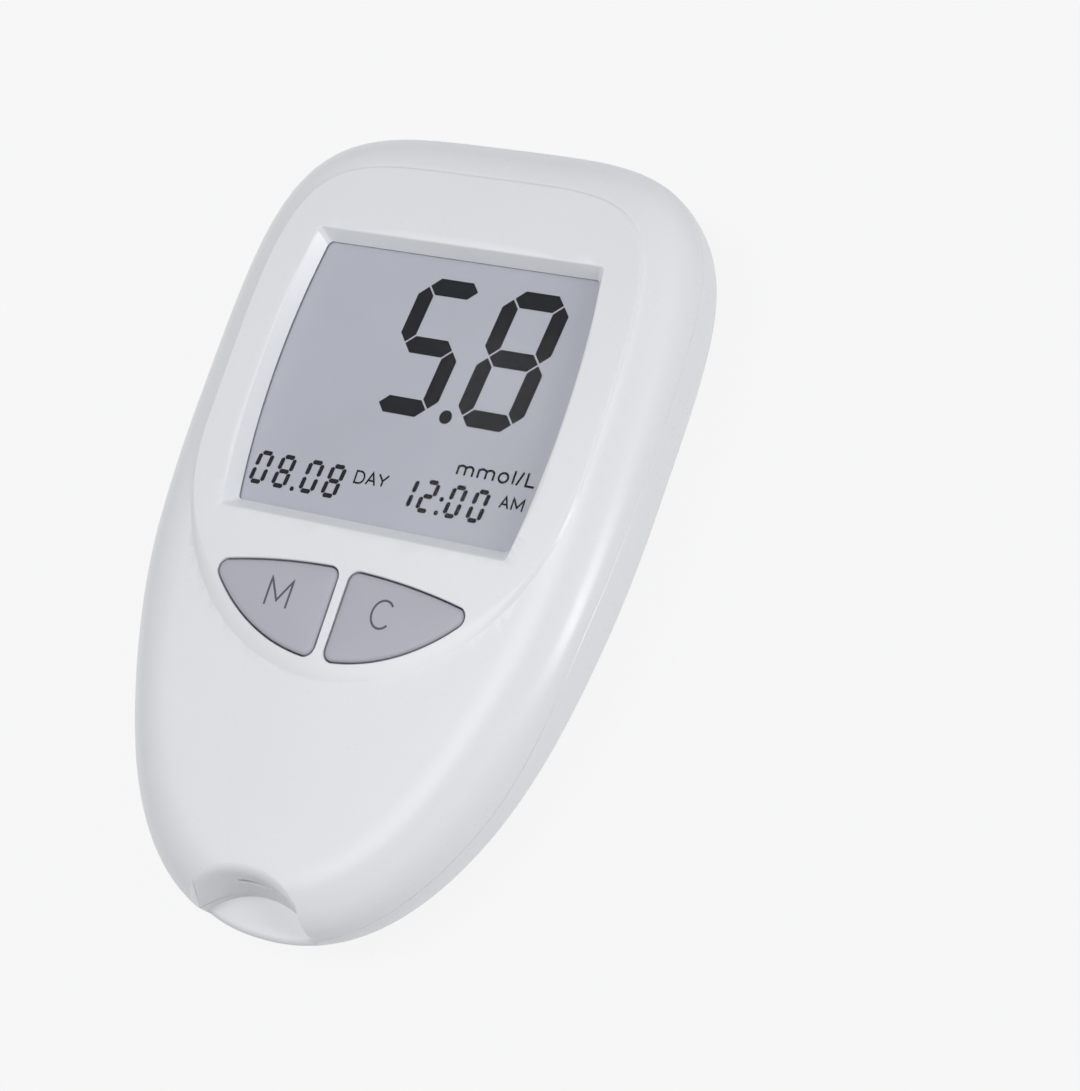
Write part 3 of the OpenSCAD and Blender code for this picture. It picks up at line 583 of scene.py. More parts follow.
def combine(body, operation, *tools):
    """Cuts the tools out of a body, or joins them to it, and removes them."""
    for tool in tools:
        step = body.modifiers.new(operation, "BOOLEAN")
        step.operation = operation
        step.solver = "MANIFOLD"
        step.object = tool
    whole = body.evaluated_get(bpy.context.evaluated_depsgraph_get())
    mesh = bpy.data.meshes.new_from_object(whole)
    body.modifiers.clear()
    body.data = mesh
    for tool in tools:
        bpy.data.objects.remove(tool)
    return body


print("cuts are made by the MANIFOLD solver, which needs closed meshes")

# %% [markdown]
# ## Shading and bodies
# A moulded part has long flats that run into tiny roundings. Plain smooth shading tilts a flat's
# corners towards the rounding and paints pale fans over it. The Weighted Normal modifier lets the
# large face win, and edges above a set angle stay sharp. After that a piece gets its finish and
# the body it rides on.

# %% Even shading
SHARP_DEGREES = 32


def shade_evenly(piece):
    """Smooth shading that keeps large faces flat and sharp corners sharp."""
    piece.data.shade_smooth()
    piece.data.set_sharp_from_angle(angle=math.radians(SHARP_DEGREES))
    weighting = piece.modifiers.new("large faces stay flat", "WEIGHTED_NORMAL")
    weighting.keep_sharp = True
    whole = piece.evaluated_get(bpy.context.evaluated_depsgraph_get())
    mesh = bpy.data.meshes.new_from_object(whole)
    piece.modifiers.clear()
    piece.data = mesh
    return mesh


print("corners below", SHARP_DEGREES, "degrees are shaded smooth")

# %% Finishing a piece


def finish_piece(piece, body, slot, *nodes, material=None):
    """Scales a piece to metres, shades it, and gives it its finish and its body."""
    piece.data.transform(Matrix.Scale(MM, 4))
    mesh = shade_evenly(piece)
    mesh.materials.clear()
    mesh.materials.append(finish[material or slot])
    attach(piece, body)
    if nodes:
        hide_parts(*nodes)
    print(piece.name, "faces:", len(mesh.polygons))
    return piece


print("a piece is made in millimetres and finished in metres, a scale of", MM)

# %% Simple tools


def prism(name, outline, low, high):
    """Straight tool over a flat outline."""
    return solid_of_rings(name, [
        tip([(x, y, low) for x, y in outline]),
        [(x, y, low) for x, y in outline],
        [(x, y, high) for x, y in outline],
        tip([(x, y, high) for x, y in outline]),
    ])


def circle(x, y, radius, count=48):
    turns = [2 * math.pi * i / count for i in range(count)]
    return [(x + radius * math.cos(t), y + radius * math.sin(t)) for t in turns]


def rectangle(x0, x1, y0, y1):
    return [(x0, y0), (x1, y0), (x1, y1), (x0, y1)]


print("points of a round outline:", len(circle(0, 0, 1)))

# %% Groups of tools and stepped pins


def joined(name, pieces):
    """One mesh of several pieces that don't touch."""
    bm = bmesh.new()
    for piece in pieces:
        bm.from_mesh(piece.data)
        bpy.data.objects.remove(piece)
    return to_object(name, bm)


def stepped_pin(name, place, levels, count=48):
    """Round tool with a radius at each height, such as a bore with a chamfered mouth."""
    rings = [[(x, y, z) for x, y in circle(place[0], place[1], r, count)] for z, r in levels]
    return solid_of_rings(name, [tip(rings[0])] + rings + [tip(rings[-1])])


print("a bore can have its chamfered mouth in one tool")

# %% [markdown]
# ## Columns round the case
# The front shell is laid out in columns, one for each direction round the case, and its rings run
# across them. Over the scoop a column can't run straight up: it starts on the cone's wall and
# turns over the arch's edge onto the outside. A small curve that touches both surfaces rounds
# that edge off, as the mould does.

# %% Column angles and rows
SIDE_COLUMNS = 340
SCOOP_COLUMNS = 90
WALL_ROWS = 12
LIP_ROWS = 6
SHOULDER_ROWS = 26
SEAM_CHAMFER = 0.06
ARCH_ROUND = 0.75
ARCH_SHARE = 0.45
DOWN = -math.pi / 2
print("columns:", SIDE_COLUMNS + SCOOP_COLUMNS)

# %% Columns beside the scoop and over it


def bend(a, b, c, t):
    """Point of the curve from a to c that b pulls, which touches both of the lines to b."""
    return (1 - t) ** 2 * a + 2 * t * (1 - t) * b + t ** 2 * c


def scoop_half_angle(inset, grow):
    """Half of the angle, seen from the case's middle, that the scoop takes at the parting line."""
    def outside(angle):
        x, y = case_egg.point(DOWN + angle, inset)
        return beside_scoop(Vector((x, y, parting_z(y))), grow)
    return solve(outside, 0.0, 1.0)


def column_angles(half):
    """Angles of the side columns from one end of the scoop round to the other, then of its own.
    The scoop's columns crowd together at its ends, where the arch is steep."""
    round_case = 2 * math.pi - 2 * half
    sides = [DOWN + half + round_case * i / SIDE_COLUMNS for i in range(SIDE_COLUMNS + 1)]
    turns = [math.pi * (i / SCOOP_COLUMNS - 0.5) for i in range(1, SCOOP_COLUMNS)]
    scoop = [DOWN + half * math.sin(turn) for turn in turns]
    return sides, scoop


scoop_degrees = 2 * math.degrees(scoop_half_angle(0, 0))
print("the scoop takes", round(scoop_degrees, 1), "degrees of the outline")

# %% [markdown]
# ## Front shell
# The front shell rounds over from the parting line to the flat of the face. A real mould is cut
# with a profile that is neither a circle nor a chamfer, so the shoulder is a quarter of a
# superellipse. The same function makes the outside and, moved in by the wall, the inside.

# %% Shoulder
SEAM_T = 0.005


def shoulder_point(angle, t, inset):
    """Point of the rounded shoulder: t 0 is the parting line, t 1 the flat of the face."""
    across = math.cos(t * math.pi / 2) ** (2 / SHOULDER_SQUARE)
    up = math.sin(t * math.pi / 2) ** (2 / SHOULDER_SQUARE)
    x, y = case_egg.point(angle, inset + (SHOULDER_WIDTH - ROUND_LOSS * inset) * (1 - across))
    low, high = parting_z(y), face_z(y) - PANEL_STEP - inset
    return Vector((x, y, low + (high - low) * up))


print("halfway up the shoulder, at the right:", [round(v, 2) for v in shoulder_point(0, 0.5, 0)])

# %% One column of the front shell


def front_column(angle, in_scoop, inset, grow, drop, chamfer, arch_round):
    """Points of one column, from its foot up to the flat of the face."""
    if not in_scoop:
        x, y = case_egg.point(angle, inset + chamfer)
        start = shoulder_point(angle, SEAM_T, inset)
        column = [Vector((x, y, parting_z(y) - drop))] + [start] * (WALL_ROWS + 1 + LIP_ROWS)
        first_t = SEAM_T
    else:
        edge_t = solve(lambda t: beside_scoop(shoulder_point(angle, t, inset), grow), 0.0, 1.0)
        edge = shoulder_point(angle, edge_t, inset)
        turn = math.atan2(edge.x, edge.y - SCOOP_Y)
        foot = parting_z(edge.y)
        size = min(arch_round, ARCH_SHARE * (edge.z - foot))

        def beyond_round(t):
            return (shoulder_point(angle, t, inset) - edge).length - size

        first_t = solve(beyond_round, edge_t, 1.0)
        below = scoop_point(turn, edge.z - size, grow)
        above = shoulder_point(angle, first_t, inset)
        wall_foot = min(foot + chamfer, below.z)
        column = [scoop_point(turn, foot - drop, grow + chamfer)]
        for k in range(WALL_ROWS + 1):
            z = wall_foot + (below.z - wall_foot) * k / WALL_ROWS
            column.append(scoop_point(turn, z, grow))
        column += [bend(below, edge, above, k / LIP_ROWS) for k in range(1, LIP_ROWS + 1)]
    for k in range(1, SHOULDER_ROWS + 1):
        t = first_t + (1 - first_t) * k / SHOULDER_ROWS
        column.append(shoulder_point(angle, t, inset))
    return column


print("points in a column:", len(front_column(0, False, 0, 0, 0, 0, 0)))

# %% Front shell's outside
ROOF_SHARES = (0.92, 0.84, 0.76, 0.68, 0.6, 0.5, 0.4, 0.3, 0.2, 0.1)
FLOOR_SHARES = (0.08, 0.5, 0.95)


def front_body(name, inset=0.0, grow=0.0, drop=0.0, chamfer=0.0, arch_round=0.0):
    """Solid between the parting line, or a level below it, and the flat of the face."""
    sides, scoop = column_angles(scoop_half_angle(inset, grow))
    columns = [front_column(a, False, inset, grow, drop, chamfer, arch_round) for a in sides]
    columns += [front_column(a, True, inset, grow, drop, chamfer, arch_round) for a in scoop]
    rings = [list(ring) for ring in zip(*columns)]

    def low(y):
        return parting_z(y) - drop

    def high(y):
        return face_z(y) - PANEL_STEP - inset

    floor = [shrunk(rings[0], s, low) for s in FLOOR_SHARES]
    roof = [shrunk(rings[-1], s, high) for s in ROOF_SHARES]
    return solid_of_rings(name, [tip(floor[0])] + floor + rings + roof + [tip(roof[-1])])


front = front_body("front_shell", chamfer=SEAM_CHAMFER, arch_round=ARCH_ROUND)
print("front shell's outside:", len(front.data.vertices), "points")

# %% [markdown]
# ## Face panel
# The panel that carries the display and the keys stands a quarter of a millimetre above the
# shoulder. Its edge is crisp along the top and the sides and fades out below the keys, so its
# rounding is narrow at the top and grows wide towards the strip end.

# %% Panel's edge
PANEL_COLUMNS = 300
CRISP_EDGE = 0.4
SOFT_EDGE = 3.0
PANEL_ROOT = 1.0
EDGE_ROWS = 8
EDGE_DROP = 1.6 * PANEL_STEP
EDGE_INSIDE = 0.75
FADE_RATE = 1.3
FADE_START = 0.3


def panel_edge_width(angle):
    """Width of the panel's rounded edge, which grows towards the strip end."""
    down = max(0, -math.sin(angle))
    return CRISP_EDGE + (SOFT_EDGE - CRISP_EDGE) * ease(FADE_RATE * down - FADE_START)


def panel_ring(inset, drop):
    """Ring round the panel; inset 0 is the inner end of the rounded edge and 1 its foot."""
    ring = []
    for i in range(PANEL_COLUMNS):
        angle = 2 * math.pi * i / PANEL_COLUMNS
        width = panel_edge_width(angle)
        x, y = panel_egg.point(angle, width * (EDGE_INSIDE - inset))
        ring.append(Vector((x, y, face_z(y) - drop)))
    return ring


edge_widths = [panel_edge_width(angle) for angle in (math.pi / 2, DOWN)]
print("edge width at the top and at the strip end:", *edge_widths)

# %% Panel


def panel_body():
    shares = [k / EDGE_ROWS for k in range(EDGE_ROWS + 1)]
    edge = [panel_ring(share, EDGE_DROP * share ** 2) for share in shares]
    root = panel_ring(1.0, PANEL_ROOT)
    top = [shrunk(edge[0], share, face_z) for share in ROOF_SHARES]
    return solid_of_rings("panel", [tip(top[-1])] + top[::-1] + edge + [root, tip(root)])


combine(front, "UNION", panel_body())
print("with the panel:", len(front.data.vertices), "points")

# %% [markdown]
# ## Outlines with rounded corners
# The keys and the display's recess are drawn by a few long curves that meet in corners. A small
# circle rolled into each corner rounds it. Every point also keeps the direction in which it moves
# when the outline grows, so one outline serves for a key, for the gap round it and for the slope
# of the recess.

# %% A circle that fits a corner
SIDE_SAMPLES = 400


def outward(points, i):
    """Outward direction at a point of a side that runs anticlockwise."""
    before, after = points[max(0, i - 1)], points[min(len(points) - 1, i + 1)]
    along = (after - before).normalized()
    return Vector((along.y, -along.x))


def corner_circle(side, following, radius):
    """Centre of a circle that touches the end of one side and the start of the next."""
    for i in range(len(side) - 1, -1, -1):
        centre = side[i] - radius * outward(side, i)
        near = min(range(len(following)), key=lambda j: (following[j] - centre).length)
        if (following[near] - centre).length >= radius:
            return centre, i, near
    raise ValueError("the corner is too tight for its radius")


corner = [[Vector((i / 10, 0)) for i in range(11)], [Vector((1, i / 10)) for i in range(11)]]
corner_middle = corner_circle(*corner, 0.2)[0]
print("circle of 0.2 in a square corner:", tuple(round(v, 2) for v in corner_middle))

# %% Rounded outlines
SIDE_POINTS = 36
CORNER_POINTS = 8


def rounded_outline(sides, radius, mitred=False):
    """Outline of (point, way it grows). Mitred corners keep their radius as the outline grows."""
    count = len(sides)
    corners = [corner_circle(sides[k], sides[(k + 1) % count], radius) for k in range(count)]
    outline = []
    mitres = []
    for k in range(count):
        _, end, start = corners[k]
        first, second = outward(sides[k], end), outward(sides[(k + 1) % count], start)
        mitres.append((first + second) / (1 + first.dot(second)))
    for k in range(count):
        side = sides[k]
        begin, end = corners[k - 1][2], corners[k][1]
        pulls = (mitres[k - 1] - outward(side, begin), mitres[k] - outward(side, end))
        for m in range(SIDE_POINTS + 1):
            share = m / SIDE_POINTS
            i = round(begin + (end - begin) * share)
            way = outward(side, i)
            if mitred:
                way = way + (1 - share) * pulls[0] + share * pulls[1]
            outline.append((side[i], way))
        centre = corners[k][0]
        first, second = outward(side, end), outward(sides[(k + 1) % count], corners[k][2])
        for m in range(1, CORNER_POINTS):
            spoke = first.lerp(second, m / CORNER_POINTS).normalized()
            outline.append((centre + radius * spoke, mitres[k] if mitred else spoke))
    return outline


def grown(outline, amount):
    return [point + amount * way for point, way in outline]


print("points along a side and round a corner:", SIDE_POINTS + 1, CORNER_POINTS - 1)

# %% [markdown]
# ## The display's plane
# The face falls along a gentle curve, but a display and a board are flat. They lie along one
# plane that cuts the face's slope at both ends of the display. So a point is given by its place
# on that plane and by its depth below it, and a small function turns this into a place in space.

# %% Display plane
RECESS_TOP = TOP_Y - 12.5
RECESS_TAIL = RECESS_TOP - 30.6
WINDOW_Y = (RECESS_TOP + RECESS_TAIL) / 2
FACE_TILT = math.atan2(face_z(RECESS_TOP) - face_z(RECESS_TAIL), RECESS_TOP - RECESS_TAIL)


def on_face(x, y, depth):
    """Point at a depth below the plane that the display, the keys and the board lie along."""
    c, s = math.cos(FACE_TILT), math.sin(FACE_TILT)
    along = y - WINDOW_Y
    y, z = WINDOW_Y + along * c + depth * s, face_z(WINDOW_Y) + along * s - depth * c
    return Vector((x, y, z))


def below_face(x, y, depth):
    """Point straight below the panel's real, slightly curved surface."""
    return Vector((x, y, face_z(y) - depth))


def plane_tool(name, outline, levels):
    """Tool over an outline, from (growth, depth, whether it follows the panel's own curve)."""
    rings = []
    for grow, depth, curved in levels:
        place = below_face if curved else on_face
        rings.append([place(x, y, depth) for x, y in grown(outline, grow)])
    return solid_of_rings(name, [tip(rings[0])] + rings + [tip(rings[-1])])


print("the display's plane is tilted by", round(math.degrees(FACE_TILT), 2), "degrees")

# %% [markdown]
# ## Display recess
# The display lies in a shallow recess with sloping walls, whose long sides bow outwards a little.
# The tool that cuts it is one stack of rings: the viewing hole, the slope, and a small flare that
# takes the sharpness off the panel's edge. A second tool makes the seat for the window under the
# rim.

# %% Viewing hole
RECESS_HALF_WIDTH = 17.3
SIDE_BOW = 1.2
RECESS_SLOPE = 0.95
TAIL_SLOPE = 1.2
RIM_DEPTH = 1.6
HOLE_CORNER = 0.5


def hole_sides():
    """Right side, top, left side and bottom of the viewing hole, anticlockwise."""
    low, high = RECESS_TAIL + TAIL_SLOPE, RECESS_TOP - RECESS_SLOPE
    wide = RECESS_HALF_WIDTH - RECESS_SLOPE
    middle, half = (low + high) / 2, (high - low) / 2
    shares = [2 * i / SIDE_SAMPLES - 1 for i in range(SIDE_SAMPLES + 1)]

    def bowed(share):
        return wide + SIDE_BOW * (1 - share * share)

    return [
        [Vector((bowed(s), middle + half * s)) for s in shares],
        [Vector((-wide * s, high)) for s in shares],
        [Vector((-bowed(s), middle - half * s)) for s in shares],
        [Vector((wide * s, low)) for s in shares],
    ]


def widened_at_tail(way):
    """Way in which a point moves, longer towards the tail, where the slope is wider."""
    return Vector((way.x, way.y * (TAIL_SLOPE / RECESS_SLOPE if way.y < 0 else 1)))


hole_outline = rounded_outline(hole_sides(), HOLE_CORNER, mitred=True)
hole_outline = [(point, widened_at_tail(way)) for point, way in hole_outline]
hole_width = 2 * max(point.x for point, _ in hole_outline)
print("viewing hole:", round(hole_width, 2), "mm wide in its middle")

# %% Recess and window seat
SEAT_LAP = 1.15
SEAT_HEIGHT = 3.2
slope_share = RECESS_SLOPE / RIM_DEPTH
recess_tool = plane_tool("recess_tool", hole_outline, [
    (0, RIM_DEPTH + 0.6, False),
    (0, RIM_DEPTH - 0.06, False),
    ((RIM_DEPTH - 0.25) * slope_share, 0.25, False),
    ((RIM_DEPTH - 0.12) * slope_share, 0.12, True),
    (RECESS_SLOPE - 0.03, 0.05, True),
    (RECESS_SLOPE + 0.03, 0.015, True),
    (RECESS_SLOPE + 0.12, -0.015, True),
    (RECESS_SLOPE + 0.3, -0.6, True),
])
seat_tool = plane_tool("seat_tool", hole_outline, [
    (SEAT_LAP, RIM_DEPTH + SEAT_HEIGHT, False),
    (SEAT_LAP, RIM_DEPTH, False),
])
print("recess:", 2 * RECESS_HALF_WIDTH, "mm wide at its corners")

# %% [markdown]
# ## Key openings
# Two keys fill the curved end of the panel: an arch above, the panel's own curve below, and a bar
# between them. The openings follow the same outline with a narrow gap, which shows as the dark
# line round a key.

# %% Key outline
KEY_TOP = RECESS_TAIL - 4.0
ARCH_RADIUS = 70.0
KEY_RIM = 1.9
KEY_BAR = 1.45
KEY_CORNER = 0.95
KEY_GAP = 0.18


def arch_y(x):
    return KEY_TOP - ARCH_RADIUS + math.sqrt(ARCH_RADIUS ** 2 - x * x)


def left_key_sides():
    """Arch, panel curve and bar side of the left key, anticlockwise."""
    bar = -KEY_BAR / 2

    def above_arch(angle):
        x, y = panel_egg.point(angle, KEY_RIM)
        return y - arch_y(x)

    def beyond_bar(angle):
        return panel_egg.point(angle, KEY_RIM)[0] - bar

    left = solve(above_arch, math.pi, 1.5 * math.pi)
    right = solve(beyond_bar, math.pi, 1.5 * math.pi)
    tip_x = panel_egg.point(left, KEY_RIM)[0]
    tail = panel_egg.point(right, KEY_RIM)[1]
    shares = [i / SIDE_SAMPLES for i in range(SIDE_SAMPLES + 1)]
    arch = [Vector((x, arch_y(x))) for x in (bar + (tip_x - bar) * s for s in shares)]
    curve = [panel_egg.point(left + (right - left) * s, KEY_RIM) for s in shares]
    beside = [Vector((bar, tail + (arch_y(bar) - tail) * s)) for s in shares]
    return [arch, curve, beside]


key_outline = rounded_outline(left_key_sides(), KEY_CORNER)
print("the key's tip is", round(-min(p.x for p, _ in key_outline), 2), "mm from the middle")

# %% Both openings


def mirrored(outline):
    """The same outline on the other side, still anticlockwise."""
    return [(Vector((-p.x, p.y)), Vector((-w.x, w.y))) for p, w in reversed(outline)]


def key_opening(name, outline):
    return plane_tool(name, outline, [
        (KEY_GAP, 4.0, False),
        (KEY_GAP, 0.3, False),
        (KEY_GAP, 0.12, True),
        (KEY_GAP + 0.03, 0.05, True),
        (KEY_GAP + 0.1, 0.0, True),
        (KEY_GAP + 0.2, -0.04, True),
        (KEY_GAP + 0.3, -0.5, True),
    ])


key_tools = [
    key_opening("left_tool", key_outline),
    key_opening("right_tool", mirrored(key_outline)),
]
print("gap round a key:", KEY_GAP, "mm")

# %% [markdown]
# ## Hollow, bosses and strip slit of the front shell
# A moulded shell has an even wall, so the hollow is the same body again, moved in by the wall's
# thickness. Bosses for the screws stand inside it. They never show, but they make the shell a
# part that could be moulded. The slit for the test strip goes through the scoop's wall.

# %% Places of the screws
CASE_SCREWS = [
    (-18, TOP_Y - 8.3), (18, TOP_Y - 8.3),
    (-12.5, TAIL_Y + 16.5), (12.5, TAIL_Y + 16.5),
]
BOARD_SCREWS = [
    (-10, TOP_Y - 5.9), (10, TOP_Y - 5.9),
    (-19.4, RECESS_TAIL - 3.6), (19.4, RECESS_TAIL - 3.6),
]
BOSS_MEET = 6.0
BOARD_DEPTH = 4.8
print("screws:", len(CASE_SCREWS), "in the case,", len(BOARD_SCREWS), "in the board")

# %% Slab along the parting line
LIP_HEIGHT = 0.9
LIP_GAP = 0.12


def parting_body(name, inset, grow, below, above):
    """Slab that follows the parting line inside the case, clear of the scoop."""
    sides = column_angles(scoop_half_angle(inset, grow))[0]
    end = case_egg.point(sides[-1], inset)
    end_turn = math.atan2(end.x, end.y - SCOOP_Y)
    rings = []
    for up in (-below, above):
        ring = [case_egg.point(a, inset) for a in sides]
        ring = [Vector((p.x, p.y, parting_z(p.y) + up)) for p in ring]
        for i in range(1, SCOOP_COLUMNS):
            turn = end_turn * (1 - 2 * i / SCOOP_COLUMNS)
            place = scoop_point(turn, PARTING_TAIL, grow)
            ring.append(Vector((place.x, place.y, PARTING_TAIL + up)))
        rings.append(ring)
    floor = shrunk(rings[0], 0.5, lambda y: parting_z(y) - below)
    roof = shrunk(rings[1], 0.5, lambda y: parting_z(y) + above)
    return solid_of_rings(name, [tip(floor), floor] + rings + [roof, tip(roof)])


print("the lip stands", LIP_HEIGHT, "mm above the parting line")

# %% Bosses and their pilot holes
CASE_POST_RADIUS = 2.2
CASE_PILOT_RADIUS = 0.83
CASE_PILOT_LENGTH = 3.9
BOARD_POST_RADIUS = 1.7
BOARD_PILOT_RADIUS = 0.73
BOARD_PILOT_LENGTH = 2.7


def square_to_face(name, outline, depths):
    """Straight piece over an outline, between two depths below the display's plane."""
    rings = [[on_face(x, y, depth) for x, y in outline] for depth in depths]
    return solid_of_rings(name, [tip(rings[0])] + rings + [tip(rings[1])])


def boss_bodies():
    """Posts for the case's screws and, square to the display, for the board's."""
    posts = []
    for x, y in CASE_SCREWS:
        posts.append(prism("post", circle(x, y, CASE_POST_RADIUS, 32), BOSS_MEET, CASE_THICKNESS))
    for x, y in BOARD_SCREWS:
        posts.append(square_to_face("post", circle(x, y, BOARD_POST_RADIUS, 32), (BOARD_DEPTH, 0)))
    inner = front_body("inner", inset=WALL / 2, grow=WALL / 2, drop=3)
    return combine(joined("bosses", posts), "INTERSECT", inner)


def pilot_tools():
    """Blind holes that the screws cut their threads in."""
    holes = []
    for x, y in CASE_SCREWS:
        outline = circle(x, y, CASE_PILOT_RADIUS, 24)
        holes.append(prism("pilot", outline, BOSS_MEET - 1, BOSS_MEET + CASE_PILOT_LENGTH))
    for x, y in BOARD_SCREWS:
        outline = circle(x, y, BOARD_PILOT_RADIUS, 24)
        depths = (BOARD_DEPTH + 1, BOARD_DEPTH - BOARD_PILOT_LENGTH)
        holes.append(square_to_face("pilot", outline, depths))
    return joined("pilots", holes)


print("a boss for the case's screws starts", BOSS_MEET, "mm above the back")

# %% Strip slit
SLIT_DEPTH = 3.1
SLIT_HALF_WIDTH = 2.1
SLIT_HEIGHT = 0.6


def slit_tool():
    """Flat tool with round ends, along the display's plane through the scoop's wall."""
    half = SLIT_HEIGHT / 2
    reach = SLIT_HALF_WIDTH - half
    turns = [math.pi * k / 8 for k in range(9)]
    right = [(reach + half * math.sin(turn), half * math.cos(turn)) for turn in turns]
    profile = right + [(-x, -z) for x, z in right]
    ends = (TAIL_Y - 5, TAIL_Y + 15)
    rings = [[on_face(x, y, SLIT_DEPTH - z) for x, z in profile] for y in ends]
    return solid_of_rings("slit_tool", [tip(rings[0])] + rings + [tip(rings[1])])


print("slit:", 2 * SLIT_HALF_WIDTH, "by", SLIT_HEIGHT, "mm")

# %% Front shell, hollowed and cut
hollow = front_body("hollow", inset=WALL, grow=WALL, drop=3)
lip_room = parting_body("lip_room", WALL / 2 + LIP_GAP / 2, WALL, 1, LIP_HEIGHT + 0.1)
combine(hollow, "UNION", lip_room)
combine(hollow, "DIFFERENCE", boss_bodies())
openings = [recess_tool, seat_tool, *key_tools, slit_tool(), pilot_tools()]
combine(front, "DIFFERENCE", hollow, *openings)
finish_piece(front, "root", "case_plastic", "front_case")

# %% [markdown]
# ## Rear shell
# The rear shell is a shallow tray whose sides curve in to a flat back, so that the meter can be
# picked up from a table. Its tongue shows under the scoop. The tool that cuts the tongue dips
# round its rim, which leaves a rounded edge without any extra step.

# %% Level rings
BELLY_COLUMNS = 420
BELLY_ROWS = 16


def egg_ring(inset, height, count=BELLY_COLUMNS):
    """Level ring round the case, with its height given as a function of its place along Y."""
    ring = []
    for i in range(count):
        x, y = case_egg.point(2 * math.pi * (i + 0.5) / count, inset)
        ring.append(Vector((x, y, height(y))))
    return ring


def belly_rings(inset, floor, gap, rows=BELLY_ROWS):
    """Rings from the flat back up to the parting line."""
    width = BELLY_WIDTH - ROUND_LOSS * inset
    rings = []
    for k in range(rows + 1):
        turn = max(0.006, 1 - k / rows) * math.pi / 2

        def height(y):
            parting = parting_z(y) - gap
            return parting - (parting - floor) * math.sin(turn)

        rings.append(egg_ring(inset + width * (1 - math.cos(turn)), height))
    return rings


print("points in a ring of the rear shell:", BELLY_COLUMNS)

# %% Rear shell's outside


def rear_outside():
    def seam(y):
        return parting_z(y) - PARTING_GAP

    rings = belly_rings(0, 0, PARTING_GAP)
    top = egg_ring(SEAM_CHAMFER, seam)
    back = shrunk(rings[0], 0.96, lambda y: 0.0)
    lid = [shrunk(top, share, seam) for share in (0.9, 0.75, 0.5)]
    return solid_of_rings("rear_shell", [tip(back), back] + rings + [top] + lid + [tip(lid[-1])])


rear = rear_outside()
print("rear shell's outside:", len(rear.data.vertices), "points")

# %% Tongue
TONGUE_ROUND = 0.5
TONGUE_EDGE = 0.1
LAST_TURN = math.pi / 2 - 0.12
ROUND_ROWS = 8
CONE_COLUMNS = 240


def tongue_tool():
    """All that is above the tongue in the scoop's cone, with a rim that dips at the edge."""
    edge = []
    for k in range(ROUND_ROWS + 1):
        turn = LAST_TURN * k / ROUND_ROWS
        inset = TONGUE_EDGE + TONGUE_ROUND * (1 - math.sin(turn))
        drop = TONGUE_ROUND * (1 - math.cos(turn))
        edge.append(egg_ring(inset, lambda y, drop=drop: tongue_z(y) - drop))
    beyond = egg_ring(-2 * TONGUE_EDGE, lambda y: tongue_z(y) - 4 * TONGUE_ROUND)
    above = egg_ring(-2 * TONGUE_EDGE, lambda y: tongue_z(y) + 9)
    inner = [shrunk(edge[0], share, tongue_z) for share in (0.3, 0.6, 0.8, 0.9, 0.96)]
    rings = [tip(inner[0])] + inner + edge + [beyond, above, tip(above)]
    slab = solid_of_rings("tongue_slab", rings)
    turns = [2 * math.pi * i / CONE_COLUMNS for i in range(CONE_COLUMNS)]
    levels = [[scoop_point(turn, z) for turn in turns] for z in (0, 3, 6, 9, 13)]
    cone = solid_of_rings("cone", [tip(levels[0])] + levels + [tip(levels[-1])])
    return combine(slab, "INTERSECT", cone)


print("the tongue's rim is rounded by", TONGUE_ROUND, "mm")

# %% [markdown]
# ## Inside of the rear shell
# Behind the door lies a bay for the coin cell, and four posts take the screws. Most of this is
# blocks and bars, so it is made of prisms over flat outlines. The hollow is taken out first and
# the posts are joined in afterwards, in the order in which a designer would draw the mould.

# %% Sizes inside
FLOOR_THICKNESS = 1.5
SHELF_DEPTH = 4.0
BAY_HALF_WIDTH = 13.75
BAY_TOP = 6.2
CELL_PLACE = (0, RECESS_TAIL + 12.6)
CELL_RADIUS = 10.0
DOOR_HALF_WIDTH = 12.4
HINGE_Y = -0.8
DOOR_TOP = 23.4
DOOR_GAP = 0.15
DOOR_THICKNESS = 1.2
BARREL_RADIUS = 1.0
LUG_RADIUS = 0.6
LUG_END = 13.8
print("door:", 2 * DOOR_HALF_WIDTH, "by", round(DOOR_TOP - HINGE_Y, 1), "mm")

# %% Blocks and bars


def block(name, x0, x1, y0, y1, z0, z1):
    return prism(name, rectangle(x0, x1, y0, y1), z0, z1)


def rod(name, half_length, y, z, radius, ends=0.0, count=48):
    """Bar along X; its ends can be tapered over a length."""
    def ring(x, r):
        turns = [2 * math.pi * i / count for i in range(count)]
        return [(x, y + r * math.cos(t), z + r * math.sin(t)) for t in turns]
    rings = [ring(-half_length, radius), ring(half_length, radius)]
    if ends:
        near, far = half_length - ends, half_length - 0.3 * ends
        rings = [ring(-half_length, 0.5 * radius), ring(-far, 0.8 * radius), ring(-near, radius)]
        rings += [ring(near, radius), ring(far, 0.8 * radius), ring(half_length, 0.5 * radius)]
    return solid_of_rings(name, [tip(rings[0])] + rings + [tip(rings[-1])])


print("the door's lugs are", 2 * LUG_RADIUS, "mm thick")

# %% Hollow of the rear shell


def shelf_body():
    outline = circle(0, SCOOP_Y, SCOOP_RADIUS + 1.5 * WALL, 120)
    shelf = prism("shelf", outline, TONGUE_Z + WALL - SHELF_DEPTH, 12)
    keep = block("keep", -20, 20, -70, TAIL_Y + SCOOP_REACH + 2 * WALL, 0, 20)
    return combine(shelf, "INTERSECT", keep)


